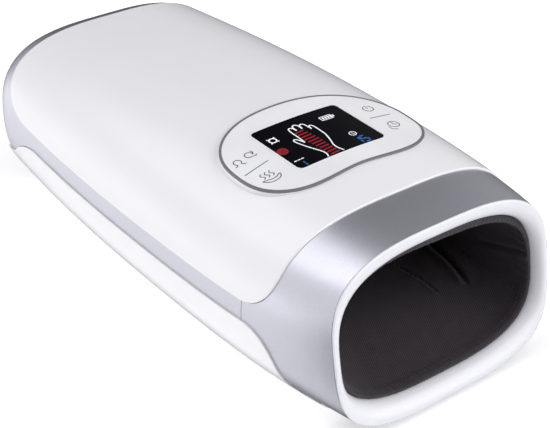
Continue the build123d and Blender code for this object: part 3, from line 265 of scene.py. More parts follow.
def smooth(share):
    """Eases from 0 to 1."""
    share = np.clip(share, 0.0, 1.0)
    return share * share * (3.0 - 2.0 * share)


# Upright outlines: half width, waist, top and foot, then the powers of the crown and the belly
LIP_FOOT = 2.9
LIP = (69.8, 51.0, 96.4, LIP_FOOT, 3.14, 3.43)
FUNNEL = (64.2, 50.0, 87.8, 11.8, 2.81, 3.05)
POCKET = (59.5, 50.5, 75.4, 25.6, 2.8, 2.8)

# The mouth plane: its y at the lip's foot, and how far it leans back for each millimetre of height
MOUTH_FRONT = -168.0
MOUTH_LEAN = 0.165


def section(turn, outline, inset):
    """Points of an outline, drawn in by the inset: superellipses above and below its waist."""
    half, waist, top, foot, crown_power, belly_power = outline
    turn = np.asarray(turn, float)
    across, up = np.abs(np.cos(turn)), np.abs(np.sin(turn))
    power = np.where(np.sin(turn) >= 0, crown_power, belly_power)
    reach = (across**power + up**power) ** (-1.0 / power)
    tall = np.where(np.sin(turn) >= 0, top - inset - waist, waist - (foot + inset))
    return (half - inset) * reach * np.cos(turn), waist + tall * reach * np.sin(turn)


def mouth_y(depth, z):
    """Y of the leaning mouth plane at this height and depth."""
    return depth + MOUTH_FRONT + MOUTH_LEAN * (z - LIP_FOOT)


def unit(vectors):
    length = np.linalg.norm(vectors, axis=-1, keepdims=True)
    return vectors / np.maximum(length, 1e-9)


def object_of(name, points, faces, finish, uv=None, flat=False):
    """A mesh object from millimetre points, with its finish."""
    mesh = bpy.data.meshes.new(name)
    mesh.from_pydata([tuple(p) for p in np.asarray(points, float) * MM], [], faces)
    mesh.validate()
    if uv is not None:
        layer = mesh.uv_layers.new(name="cloth")
        for loop in mesh.loops:
            layer.data[loop.index].uv = uv[loop.vertex_index]
    if not flat:
        mesh.polygons.foreach_set("use_smooth", [True] * len(mesh.polygons))
    made = bpy.data.objects.new(name, mesh)
    bpy.context.collection.objects.link(made)
    mesh.materials.append(finish)
    return made


def grid_faces(rows, columns, start=0, turned=False):
    """Quads of a grid whose points are listed row by row."""
    faces = []
    for i in range(rows - 1):
        for j in range(columns - 1):
            a = start + i * columns + j
            quad = (a, a + 1, a + columns + 1, a + columns)
            faces.append(quad[::-1] if turned else quad)
    return faces


def cloth(name, face, outward, thickness):
    """A closed thin sheet: its seen face is the grid, its back lies one thickness outward."""
    rows, columns = face.shape[:2]
    back = face + outward * thickness
    points = np.concatenate([face.reshape(-1, 3), back.reshape(-1, 3)])
    count = rows * columns
    faces = grid_faces(rows, columns) + grid_faces(rows, columns, count, True)
    rim = [(0, j) for j in range(columns)]
    rim += [(i, columns - 1) for i in range(1, rows)]
    rim += [(rows - 1, j) for j in range(columns - 2, -1, -1)]
    rim += [(i, 0) for i in range(rows - 2, 0, -1)]
    edge = [i * columns + j for i, j in rim]
    for a, b in zip(edge, edge[1:] + edge[:1]):
        faces.append((b, a, a + count, b + count))
    along = np.zeros((rows, columns))
    along[1:] = np.cumsum(np.linalg.norm(np.diff(face, axis=0), axis=2), axis=0)
    round_it = np.zeros((rows, columns))
    round_it[:, 1:] = np.cumsum(np.linalg.norm(np.diff(face, axis=1), axis=2), axis=1)
    round_it -= round_it[:, columns // 2:columns // 2 + 1]
    uv = np.stack([round_it, along], 2).reshape(-1, 2) * MM
    uv = np.concatenate([uv, uv])
    return object_of(name, points, faces, MATERIALS["lining_fabric"], uv)


# Lining: top, floor, two sides, rear end, and the hem with its stitches at the mouth

POCKET_FRONT = -107.0
POCKET_REAR = 49.0
POCKET_MIDDLE = POCKET[1]
MOUTH_INSET = 2.0
MOUTH_INSET_SHARE = 0.3
SHEET_THICKNESS = 1.1
SHEET_INSET = 0.8
LAP_WIDTH = 6.0
LAP_INSET = 0.35
LAP_THICKNESS = 0.3
PANEL_TURN = 29.0
SIDE_TURN = 33.0
RAMP_ROWS = 40
STRAIGHT_ROWS = 110
TOP_COLUMNS = 150
FLOOR_COLUMNS = 250
SIDE_COLUMNS = 120
FINE_STEPS = 2000
CROWDING = 3.0
CROWD_WIDTH = 4.5

# Hem: a piped roll, widest at the top right, with a doubled band of cloth behind it. Its two
# cloth sizes are metres, its wide turn is in degrees and its spread in radians.
HEM_DEPTH = 7.0
HEM_RADIUS = 0.75
HEM_EDGE_INSET = 0.45
HEM_UNEVENNESS = 0.08
HEM_WIDE_TURN = 74.0
HEM_WIDE_SPREAD = 0.8
HEM_WIDENING = 2.0
HEM_RIBS = 150
HEM_RIB_DEPTH = 0.16
HEM_RIB_DRIFT = 2.0
HEM_RIPPLES = (29, 43, 71, 97)
HEM_RIPPLE_DEPTH = 0.10
HEM_GROOVE_DEPTH = 0.55
HEM_GROOVE_WIDTH = 0.28
HEM_CLOTH_ROUND = 0.50
HEM_CLOTH_ACROSS = 0.006
HEM_BAND = 4.6
HEM_BAND_RISE = 0.35
HEM_BAND_EDGE = 0.8

# Gathers fan out from the hem round one turn, in radians. Slack is a sum of long waves over a
# sheet, with at most this much phase for each millimetre.
GATHER_TURN = 0.55
GATHER_SPREAD = 0.55
GATHER_LEAST = 0.12
GATHER_COUNTS = (37, 58, 83)
GATHER_DEPTH = 0.42
GATHER_REACH = 8.0
SLACK_WAVES = 7
SLACK_DEPTH = 0.13
SLACK_ACROSS = 0.14
SLACK_ALONG = 0.05
SLACK_UP = 0.05
ANY_PHASE = 6.28

# Folds: a pressed one and a dashed one on the floor, and a slanting tuck on both sides
FLOOR_FOLDS = (
    {"start": (52.6, -78.0), "end": (47.2, -127.5), "depth": 2.5, "rise": 1.5, "width": 1.2},
    {"start": (29.0, -92.0), "end": (31.8, -124.0), "depth": 1.3, "rise": 0.25, "width": 0.8, "pits": 9},
)
FLOOR_DENSE_PLACES = (49.0, 30.0)
SIDE_TUCK = {"start": (-159.0, 55.8), "end": (-121.0, 46.5), "depth": 0.8, "rise": 0.4, "width": 1.3,
             "plane": (1, 2)}

# A fold fades in over a share of its length. Its two lips stand beside the groove, in groove widths.
FOLD_FADE_SHARE = 0.12
FOLD_FADE_START = 0.3
FOLD_PIT_WIDENING = 0.4
NEAR_LIP_AWAY = 2.1
NEAR_LIP_WIDTH = 1.5
FAR_LIP_AWAY = 2.3
FAR_LIP_WIDTH = 1.7
FAR_LIP_SHARE = 0.6

# Stitches: each has four rings, at these turns in radians from its start
STITCH_COUNT = 132
STITCH_SIDES = 6
STITCH_EASE = 8.0
STITCH_TURNS = (0.0, 0.008, 0.020, 0.028)
STITCH_RADII = (0.10, 0.30, 0.30, 0.10)
STITCH_RAMP = 0.072

# Rear end: its rings run in to a small middle, which bulges to the rear
REAR_INSET = 0.6
REAR_THICKNESS = 0.8
REAR_AHEAD = 0.4
REAR_BULGE = 0.5
REAR_MIDDLE_SHARE = 0.04
REAR_COLUMNS = 121
REAR_RINGS = 14


def ramp_ring(turns, inset, ramp):
    """Ring of the lining between the hem, where ramp is 0, and the straight pocket, where it is 1."""
    share = smooth(ramp)
    mouth_x, mouth_z = section(turns, FUNNEL, MOUTH_INSET + MOUTH_INSET_SHARE * inset)
    deep_x, deep_z = section(turns, POCKET, inset)
    y = mix(mouth_y(HEM_DEPTH, mouth_z), POCKET_FRONT, ramp)
    return np.stack([mix(mouth_x, deep_x, share), y, mix(mouth_z, deep_z, share)], -1)


def pocket_rows(turns, inset):
    """The lining between two turns, from the hem over the ramp to the rear end."""
    rings = [ramp_ring(turns, inset, ramp) for ramp in np.linspace(0.0, 1.0, RAMP_ROWS)]
    for y in np.linspace(POCKET_FRONT, POCKET_REAR, STRAIGHT_ROWS + 1)[1:]:
        ring = rings[RAMP_ROWS - 1].copy()
        ring[:, 1] = y
        rings.append(ring)
    return np.array(rings)


def outward_of(face):
    """Unit directions away from the pocket's middle line, square to the cloth."""
    normal = unit(np.cross(np.gradient(face, axis=0), np.gradient(face, axis=1)))
    away = face - np.array([0.0, 0.0, POCKET_MIDDLE])
    away[..., 1] = 0.0
    return normal * np.sign((normal * away).sum(2, keepdims=True))


def wrinkled(face, outward):
    """Doubled cloth at the hem, gathers behind it at the top right, and soft slack further in."""
    chance = np.random.default_rng(SEED)
    x, y, z = face[..., 0], face[..., 1], face[..., 2]
    behind_hem = np.clip(y - mouth_y(HEM_DEPTH, z), 0, None)
    band = HEM_BAND_RISE * smooth(behind_hem / HEM_BAND_EDGE)
    band = band * (1.0 - smooth((behind_hem - HEM_BAND) / HEM_BAND_EDGE))
    around = np.arctan2(z - POCKET_MIDDLE, x)
    near_middle = np.exp(-((around - GATHER_TURN) / GATHER_SPREAD) ** 2)
    gathered = GATHER_LEAST + (1.0 - GATHER_LEAST) * near_middle
    gather = sum(np.sin(around * count + chance.uniform(0, ANY_PHASE)) * chance.uniform(0.5, 1.0)
                 for count in GATHER_COUNTS)
    gathers = GATHER_DEPTH * gather * gathered * np.exp(-behind_hem / GATHER_REACH)
    slack = np.zeros(x.shape)
    for _ in range(SLACK_WAVES):
        across = chance.uniform(-SLACK_ACROSS, SLACK_ACROSS)
        along = chance.uniform(-SLACK_ALONG, SLACK_ALONG)
        slack += np.sin(x * across + y * along + z * SLACK_UP + chance.uniform(0, ANY_PHASE))
    inward = band + gathers + SLACK_DEPTH * slack
    return face - outward * inward[..., None]


def pleat(face, outward, start, end, depth, rise, width, pits=0, plane=(0, 1)):
    """A narrow fold between two soft lips along a line in a plane; pits break it into dashes."""
    start, end = np.array(start, float), np.array(end, float)
    line = end - start
    place = face[..., list(plane)] - start
    along = (place @ line) / (line @ line)
    off = (place[..., 0] * line[1] - place[..., 1] * line[0]) / np.linalg.norm(line)
    fade = smooth(np.minimum(along, 1.0 - along) / FOLD_FADE_SHARE + FOLD_FADE_START)
    groove = np.exp(-(off / width) ** 2)
    if pits:
        groove = groove * smooth(np.cos(along * pits * 2 * math.pi) + FOLD_PIT_WIDENING)
    near_lip = np.exp(-((off - NEAR_LIP_AWAY * width) / (NEAR_LIP_WIDTH * width)) ** 2)
    far_lip = FAR_LIP_SHARE * np.exp(-((off + FAR_LIP_AWAY * width) / (FAR_LIP_WIDTH * width)) ** 2)
    inward = rise * (near_lip + far_lip) - depth * groove
    return face - outward * (inward * fade)[..., None]


def spaced_turns(middle, half_turn, columns, dense_places):
    """Turns at even steps along the cloth, closer together at the given places."""
    fine = np.radians(np.linspace(middle - half_turn, middle + half_turn, FINE_STEPS))
    x, z = section(fine, POCKET, SHEET_INSET)
    step = np.hypot(np.diff(x), np.diff(z))
    run = np.concatenate([[0], np.cumsum(step)])
    crowd = np.ones(len(x))
    for place in dense_places:
        crowd += CROWDING * np.exp(-((x - place) / CROWD_WIDTH) ** 2)
    count = np.concatenate([[0], np.cumsum(step * (crowd[1:] + crowd[:-1]) / 2)])
    turns = np.interp(np.linspace(0, count[-1], columns), count, fine)
    edge = np.interp(turns, fine, np.minimum(run, run[-1] - run))
    return turns, smooth(edge / LAP_WIDTH)


def lining_sheet(name, middle, half_turn, columns, laps, dense_places=(), pleats=()):
    """One sheet of the lining. A sheet that laps over its neighbours thins out at its two edges."""
    turns, lap = spaced_turns(middle, half_turn, columns, dense_places)
    inset = mix(LAP_INSET, SHEET_INSET, lap) if laps else 0.0 * lap
    thickness = mix(LAP_THICKNESS, SHEET_THICKNESS, lap) if laps else SHEET_THICKNESS + 0.0 * lap
    face = pocket_rows(turns, inset)
    outward = outward_of(face)
    face = wrinkled(face, outward)
    for fold in pleats:
        face = pleat(face, outward, **fold)
    return cloth(name, face, outward, thickness[None, :, None])


def make_hem():
    """A piped roll round the mouth that widens to a ribbed double band where the cloth is gathered."""
    chance = np.random.default_rng(SEED)
    around, ring = 900, 24
    turns = np.linspace(0, 2 * math.pi, around, endpoint=False)
    ripple = sum(np.sin(turns * k + chance.uniform(0, ANY_PHASE)) for k in HEM_RIPPLES) / len(HEM_RIPPLES)
    away = (turns - math.radians(HEM_WIDE_TURN) + math.pi) % (2 * math.pi) - math.pi
    gathered = np.exp(-(away / HEM_WIDE_SPREAD) ** 2)
    ribs = 1.0 + HEM_RIB_DEPTH * gathered * np.sin(turns * HEM_RIBS + HEM_RIB_DRIFT * ripple)
    half_width = HEM_RADIUS * (1.0 + HEM_RIPPLE_DEPTH * ripple + HEM_WIDENING * gathered)
    rings = []
    for roll in np.linspace(0, 2 * math.pi, ring, endpoint=False):
        across = math.cos(roll)
        groove = 1.0 - HEM_GROOVE_DEPTH * gathered * math.exp(-(across / HEM_GROOVE_WIDTH) ** 2)
        inset = HEM_EDGE_INSET + HEM_UNEVENNESS * ripple + half_width * (1.0 - across)
        x, z = section(turns, FUNNEL, inset)
        stand = HEM_RADIUS * ribs * groove * math.sin(roll)
        rings.append(np.stack([x, mouth_y(HEM_DEPTH - stand, z), z], 1))
    points = np.stack(rings, 1).reshape(-1, 3)
    faces = []
    for i in range(around):
        for j in range(ring):
            a, b = i * ring + j, i * ring + (j + 1) % ring
            c, d = ((i + 1) % around) * ring + (j + 1) % ring, ((i + 1) % around) * ring + j
            faces.append((a, d, c, b))
    uv = np.stack([np.repeat(np.arange(around) / around * HEM_CLOTH_ROUND, ring),
                   np.tile(np.arange(ring) / ring * HEM_CLOTH_ACROSS, around)], 1)
    fabric = knitted("hem_fabric", (0.014, 0.012, 0.015), (0.066, 0.059, 0.067))
    hem = object_of("lining_hem", points, faces, fabric, uv)
    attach(hem, "housing")
    return hem


def make_stitches():
    """A row of short stitches along the hem's band."""
    sides = STITCH_SIDES
    points, faces = [], []
    for turn in np.linspace(0, 2 * math.pi, STITCH_COUNT, endpoint=False):
        from_side = math.degrees(math.asin(abs(math.sin(turn))))
        inset = SHEET_INSET * float(smooth((from_side - PANEL_TURN) / STITCH_EASE))
        line = ramp_ring(turn + np.array(STITCH_TURNS), inset, STITCH_RAMP)
        start = len(points)
        for place, radius in zip(line, STITCH_RADII):
            lift = unit(np.array([-place[0], 0.0, POCKET_MIDDLE - place[2]]))
            for k in range(sides):
                a = 2 * math.pi * k / sides
                across = np.array([0.0, radius * math.sin(a), 0.0])
                points.append(place + lift * (HEM_BAND_RISE + radius * math.cos(a)) + across)
        for ring in range(3):
            for k in range(sides):
                a, b = start + ring * sides + k, start + ring * sides + (k + 1) % sides
                faces.append((a, b, b + sides, a + sides))
        faces.append(tuple(range(start + sides - 1, start - 1, -1)))
        faces.append(tuple(range(start + 3 * sides, start + 4 * sides)))
    thread = moulded("lining_thread", (0.040, 0.036, 0.041), 0.75, 2400.0, 0.2)
    stitches = object_of("lining_stitches", points, faces, thread)
    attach(stitches, "housing")
    return stitches


def make_lining():
    """The top and floor sheets, the hem with its stitches, and the two side sheets."""
    top = lining_sheet("lining_top", 90.0, 90.0 - PANEL_TURN, TOP_COLUMNS, True)
    floor = lining_sheet("lining_floor", 270.0, 90.0 - PANEL_TURN, FLOOR_COLUMNS, True,
                         FLOOR_DENSE_PLACES, FLOOR_FOLDS)
    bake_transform(top)
    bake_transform(floor)
    hem = make_hem()
    stitches = make_stitches()
    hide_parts("fabric_liner")
    for name, middle in (("lining_side_right", 0.0), ("lining_side_left", 180.0)):
        flank = lining_sheet(name, middle, SIDE_TURN, SIDE_COLUMNS, False, (), (SIDE_TUCK,))
        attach(flank, "housing")


def make_rear_end():
    """A nearly flat patch over the pocket's outline."""
    x, z = section(np.linspace(0.0, 2 * math.pi, REAR_COLUMNS), POCKET, REAR_INSET)
    face = np.zeros((REAR_RINGS, REAR_COLUMNS, 3))
    for i, share in enumerate(np.linspace(1.0, REAR_MIDDLE_SHARE, REAR_RINGS)):
        face[i, :, 0] = x * share
        face[i, :, 1] = POCKET_REAR - REAR_AHEAD + REAR_BULGE * (1 - share)
        face[i, :, 2] = POCKET_MIDDLE + (z - POCKET_MIDDLE) * share
    end = cloth("lining_end", face, np.broadcast_to([0.0, 1.0, 0.0], face.shape), REAR_THICKNESS)
    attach(end, "housing")


make_lining()
make_rear_end()


# Marks on the panel and the display

# Crown of the panel, and how the marks lie on it
CROWN_TOP = 103.8
CROWN_SPREAD = 826.0
CROWN_DROP = 1.6
CROWN_REAR = -20.8
CROWN_LENGTH = 75.5
MARK_DEPTH = 0.10

# An open hand's outline: thumb side from the wrist, three fingers, and the other side to the wrist
HAND_LINES = (
    ((-9.4, -79.3), (-8.5, -76.6), (-9.0, -73.4), (-10.9, -68.8), (-12.8, -63.4), (-14.1, -58.2),
     (-13.2, -56.4), (-11.8, -57.6), (-10.4, -61.5)),
    ((-10.4, -61.5), (-10.0, -56.0), (-9.9, -50.5), (-9.4, -46.8), (-8.1, -45.9), (-6.9, -47.0),
     (-6.6, -49.5)),
    ((-6.4, -49.5), (-6.2, -46.0), (-4.6, -44.6), (-3.0, -46.0), (-2.9, -49.5)),
    ((-2.7, -49.5), (-2.4, -47.0), (-1.0, -45.9), (0.5, -47.2), (0.8, -51.0)),
    ((1.0, -52.5), (1.5, -50.0), (2.7, -49.6), (3.5, -51.2), (3.6, -56.0), (3.2, -61.5), (1.7, -67.0),
     (0.0, -71.6), (-0.3, -75.2), (0.7, -79.0)),
)
HAND_LINE_WIDTH = 0.75


def panel_height(x, y):
    """Height of the control panel's crowned face."""
    slope = CROWN_DROP * (CROWN_REAR - np.asarray(y)) / CROWN_LENGTH
    return CROWN_TOP - np.asarray(x) ** 2 / CROWN_SPREAD - slope


def resampled(path, step):
    """The same line with points at an even small step."""
    path = np.array(path, float)
    run = np.concatenate([[0], np.cumsum(np.linalg.norm(np.diff(path, axis=0), axis=1))])
    count = max(2, int(math.ceil(run[-1] / step)) + 1)
    at = np.linspace(0, run[-1], count)
    return np.stack([np.interp(at, run, path[:, k]) for k in (0, 1)], 1)


def curve_through(points, step=0.4):
    """A smooth line through a few points."""
    points = np.array(points, float)
    padded = np.concatenate([2 * points[:1] - points[1:2], points, 2 * points[-1:] - points[-2:-1]])
    out = []
    for i in range(1, len(padded) - 2):
        a, b, c, d = padded[i - 1:i + 3]
        for t in np.linspace(0, 1, 14, endpoint=False):
            out.append(0.5 * (2 * b + (c - a) * t + (2 * a - 5 * b + 4 * c - d) * t**2
                              + (3 * b - a - 3 * c + d) * t**3))
    out.append(points[-1])
    return resampled(out, step)


def arc(centre, radius, start, end, count=40):
    """Part of a circle, angles in degrees."""
    turns = np.radians(np.linspace(start, end, count))
    return np.stack([centre[0] + radius * np.cos(turns), centre[1] + radius * np.sin(turns)], 1)


def stroke(marks, path, width):
    """Adds a line with round ends to the marks."""
    path = np.array(path, float)
    tangent = unit(np.gradient(path, axis=0))
    aside = np.stack([-tangent[:, 1], tangent[:, 0]], 1) * width / 2
    start = len(marks["points"])
    count = len(path)
    marks["points"].extend(path + aside)
    marks["points"].extend(path - aside)
    for i in range(count - 1):
        marks["faces"].append((start + i + 1, start + i, start + count + i, start + count + i + 1))
    for at, sign in ((0, -1), (count - 1, 1)):
        lead = start + at, start + count + at
        fan = []
        for turn in np.linspace(0, math.pi, 7)[1:-1]:
            fan.append(len(marks["points"]))
            ahead = sign * tangent[at] * width / 2 * math.sin(turn)
            marks["points"].append(path[at] + aside[at] * math.cos(turn) + ahead)
        cap = [lead[0], *fan, lead[1]]
        marks["faces"].append(tuple(cap[::-1] if sign > 0 else cap))


def ring_mark(marks, centre, radius, width):
    """Adds a closed ring."""
    start, count = len(marks["points"]), 44
    turns = np.linspace(0, 2 * math.pi, count, endpoint=False)
    for reach in (radius - width / 2, radius + width / 2):
        ring = np.stack([centre[0] + reach * np.cos(turns), centre[1] + reach * np.sin(turns)], 1)
        marks["points"].extend(ring)
    for i in range(count):
        j = (i + 1) % count
        marks["faces"].append((start + i, start + count + i, start + count + j, start + j))


def patch(marks, corners):
    """Adds a filled shape whose corners run anticlockwise."""
    start = len(marks["points"])
    marks["points"].extend(np.array(corners, float))
    marks["faces"].append(tuple(range(start, start + len(corners))))


def printed(name, marks, finish, stand, depth):
    """The marks as one thin raised piece that follows the panel's crown."""
    flat = np.array(marks["points"], float)
    height = panel_height(flat[:, 0], flat[:, 1])
    top = np.column_stack([flat, height + stand])
    under = np.column_stack([flat, height + stand - depth])
    count = len(flat)
    # Directed edges in order: one whose reverse is missing lies on the border
    edges = {}
    faces = list(marks["faces"])
    for face in marks["faces"]:
        for a, b in zip(face, face[1:] + face[:1]):
            edges[(a, b)] = True
        faces.append(tuple(v + count for v in reversed(face)))
    for a, b in edges:
        if (b, a) not in edges:
            faces.append((b, a, a + count, b + count))
    made = object_of(name, np.concatenate([top, under]), faces, finish, flat=True)
    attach(made, "housing")
    return made


def new_marks():
    return {"points": [], "faces": []}


def lit(name, colour, glow):
    """A display colour that shines a little by itself, with a faint cell pattern."""
    material, shader, nodes, links = node_material(name, colour, 0.4)
    cells = noise_of(nodes, links, 1500.0, 1.0)
    tinted(nodes, links, shader, cells, 0.3, 0.7, tuple(c * 0.85 for c in colour), colour)
    shader.inputs["Emission Color"].default_value = (*colour, 1.0)
    shader.inputs["Emission Strength"].default_value = glow
    return material


def seven_segments(marks, centre, height, width, digit):
    """A generic display digit."""
    half, tall = height * 0.27, height / 2
    x, y = centre
    bars = {
        "a": ((x - half, y + tall), (x + half, y + tall)), "b": ((x + half, y + tall), (x + half, y)),
        "c": ((x + half, y), (x + half, y - tall)), "d": ((x - half, y - tall), (x + half, y - tall)),
        "e": ((x - half, y), (x - half, y - tall)), "f": ((x - half, y + tall), (x - half, y)),
        "g": ((x - half, y), (x + half, y)),
    }
    shown = {"1": "bc", "5": "afgcd"}[digit]
    for bar in shown:
        (x0, y0), (x1, y1) = bars[bar]
        trim = width * 0.65 / max(height * 0.5, 0.1)
        a = (mix(x0, x1, trim), mix(y0, y1, trim))
        b = (mix(x1, x0, trim), mix(y1, y0, trim))
        stroke(marks, resampled([a, b], 0.6), width)


def display_marks():
    """White, red and blue marks of the display, with darker waves on the red disc."""
    white, red, blue = new_marks(), new_marks(), new_marks()
    for line in HAND_LINES:
        stroke(white, curve_through(line), HAND_LINE_WIDTH)
    # Battery with its bars
    corners = [(11.2, -49.4), (18.4, -49.4), (18.4, -45.8), (11.2, -45.8), (11.2, -49.4)]
    stroke(white, resampled(corners, 0.5), 0.5)
    stroke(white, resampled([(19.4, -48.2), (19.4, -47.0)], 0.5), 0.9)
    for i in range(4):
        x = 12.3 + i * 1.62
        patch(white, [(x, -48.7), (x + 1.1, -48.7), (x + 1.1, -46.5), (x, -46.5)])
    # Ring with four short rays
    ring_mark(white, (-22.1, -50.2), 2.0, 0.8)
    for turn in (45, 135, 225, 315):
        a = math.radians(turn)
        stroke(white, resampled([(-22.1 + 2.5 * math.cos(a), -50.2 + 2.5 * math.sin(a)),
                                 (-22.1 + 3.1 * math.cos(a), -50.2 + 3.1 * math.sin(a))], 0.4), 0.8)
    # Small clock over the number
    ring_mark(white, (15.3, -68.6), 1.9, 0.5)
    stroke(white, resampled([(15.3, -67.4), (15.3, -68.6), (16.2, -69.1)], 0.4), 0.4)
    # Three short bars over the lower left figure
    for i in range(3):
        stroke(white, resampled([(-25.6 + i * 2.1, -72.9), (-24.5 + i * 2.1, -72.9)], 0.4), 0.7)
    # Pulse bars over the palm, from the fingers to the wrist
    for i in range(11):
        share = i / 10
        x, y = mix(-6.0, -4.2, share), mix(-51.6, -78.4, share)
        if share < 0.7:
            half = mix(2.6, 3.6, math.sin(math.pi * min(1.0, share * 1.3)))
        else:
            half = mix(3.4, 2.9, share)
        patch(red, [(x - half, y - 0.78), (x + half, y - 0.42), (x + half, y + 0.68), (x - half, y + 0.32)])
    # Disc at the left
    patch(red, arc((-24.6, -61.6), 3.1, 0, 360, 37)[:-1])
    seven_segments(blue, (12.9, -75.9), 6.0, 1.1, "1")
    seven_segments(blue, (17.3, -75.9), 6.0, 1.1, "5")
    seven_segments(blue, (-23.4, -77.3), 4.4, 0.9, "1")
    # Waves over the disc
    wave = new_marks()
    for shift in (-1.2, 0.0, 1.2):
        stroke(wave, curve_through([(-24.6 + shift, -63.2), (-24.1 + shift, -62.2), (-25.0 + shift, -61.2),
                                    (-24.4 + shift, -60.1)], 0.3), 0.45)
    for name, marks, colour, glow, stand in (
        ("display_white", white, (0.90, 0.91, 0.92), 0.25, 0.05),
        ("display_red", red, (0.28, 0.012, 0.025), 0.20, 0.04),
        ("display_blue", blue, (0.020, 0.11, 0.34), 0.25, 0.05),
        ("display_waves", wave, (0.12, 0.01, 0.015), 0.05, 0.06),
    ):
        printed(name, marks, lit(name, colour, glow), stand, MARK_DEPTH)


def panel_marks():
    """Grey line marks of the four touch places, and the two dividing lines."""
    grey = new_marks()
    line = 0.54
    stroke(grey, resampled([(-51.0, -66.0), (-35.0, -63.2)], 0.8), line)
    stroke(grey, resampled([(34.4, -60.2), (47.2, -61.0)], 0.8), line)
    # Two puffs of air, large and small
    stroke(grey, arc((-47.3, -54.4), 2.1, -60, 230), line)
    stroke(grey, curve_through([(-46.2, -56.2), (-45.4, -57.4), (-44.2, -57.6)]), line)
    stroke(grey, curve_through([(-48.65, -56.0), (-49.2, -57.2), (-50.4, -57.4)]), line)
    stroke(grey, arc((-39.2, -52.8), 2.2, -20, 290), line)
    stroke(grey, curve_through([(-37.1, -53.4), (-36.2, -52.0), (-36.6, -50.2)]), line)
    stroke(grey, curve_through([(-38.4, -54.9), (-37.0, -55.4), (-35.6, -54.6)]), line)
    # Warmth: three waves over a shallow dish
    for shift in (-2.7, 0.0, 2.7):
        stroke(grey, curve_through([(-43.2 + shift, -75.3), (-42.1 + shift, -74.0), (-43.6 + shift, -72.3),
                                    (-42.6 + shift, -70.6)], 0.3), line)
    dish = [(-48.0, -76.4), (-46.0, -78.8), (-42.4, -79.7), (-38.6, -78.6), (-37.0, -75.9),
            (-38.4, -76.2), (-40.2, -77.2), (-43.0, -77.4), (-46.4, -76.6), (-48.0, -76.4)]
    stroke(grey, curve_through(dish), line)
    # On and off
    stroke(grey, arc((41.1, -50.6), 2.9, 125, 415), line)
    stroke(grey, resampled([(41.1, -50.4), (41.1, -46.9)], 0.5), line)
    # Clock
    ring_mark(grey, (41.0, -71.2), 3.1, line)
    stroke(grey, resampled([(41.0, -69.2), (41.0, -71.2), (42.7, -72.0)], 0.4), line)
    stroke(grey, curve_through([(36.6, -72.6), (36.9, -75.2), (39.2, -76.6)]), line)
    ink = moulded("panel_ink", (0.07, 0.07, 0.08), 0.5, 800.0, 0.08)
    printed("panel_marks", grey, ink, 0.03, 0.08)


# Mouth bezel: lip, crowned rim, flare, throat and the spigot behind

def bezel_profile():
    """Points across the bezel, from its outer edge over the lip, down the flare and back behind it.

    Each is an inset from the lip, an inset from the funnel, the share of the way between them, and a depth.
    """
    rim, lip_round, lip_depth = 1.6, 0.9, 0.96
    flare_depth, throat_depth, draw_in, wall = 6.6, 16.0, 1.6, 1.4
    spigot_inset, spigot_depth = 2.35, 7.0
    profile = [(0.10, 0.0, 0.0, lip_depth), (0.03, 0.0, 0.0, lip_depth - 0.04)]
    for turn in np.linspace(0.0, math.pi / 2, 9):
        inset = lip_round * (1.0 - math.cos(turn))
        profile.append((inset, 0.0, 0.0, (lip_depth - 0.06) * (1.0 - math.sin(turn))))
    profile.append((rim, 0.0, 0.0, 0.0))
    for turn in np.linspace(0.0, math.pi / 2, 22)[1:]:
        profile.append((rim, 0.0, math.sin(turn), flare_depth * (1.0 - math.cos(turn))))
    for share in np.linspace(0.0, 1.0, 8)[1:]:
        profile.append((rim, draw_in * share, 1.0, mix(flare_depth, throat_depth, share)))
    profile.append((rim, draw_in - wall, 1.0, throat_depth))
    profile.append((rim, -wall, 1.0, spigot_depth + 1.0))
    profile.append((spigot_inset, 0.0, 0.0, spigot_depth))
    profile.append((spigot_inset, 0.0, 0.0, lip_depth + 0.1))
    profile.append((spigot_inset, 0.0, 0.0, lip_depth))
    return profile


def make_bezel():
    """The white mouth piece, as one closed ring swept round its profile."""
    columns = 320
    turns = np.linspace(0, 2 * math.pi, columns, endpoint=False)
    rings = []
    for lip_inset, funnel_inset, share, depth in bezel_profile():
        lip_x, lip_z = section(turns, LIP, lip_inset)
        deep_x, deep_z = section(turns, FUNNEL, funnel_inset)
        x, z = mix(lip_x, deep_x, share), mix(lip_z, deep_z, share)
        rings.append(np.stack([x, mouth_y(depth, z), z], 1))
    faces = []
    for i in range(len(rings)):
        for j in range(columns):
            a, b = i * columns + j, i * columns + (j + 1) % columns
            after = ((i + 1) % len(rings)) * columns
            faces.append((a, b, after + (j + 1) % columns, after + j))
    bezel = object_of("bezel_lip", np.concatenate(rings), faces, MATERIALS["bezel_white"])
    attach(bezel, "housing")
    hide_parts("mouth_bezel")


make_bezel()


# Pads under and over the lining

PAD_SIDE_POWER = 0.28


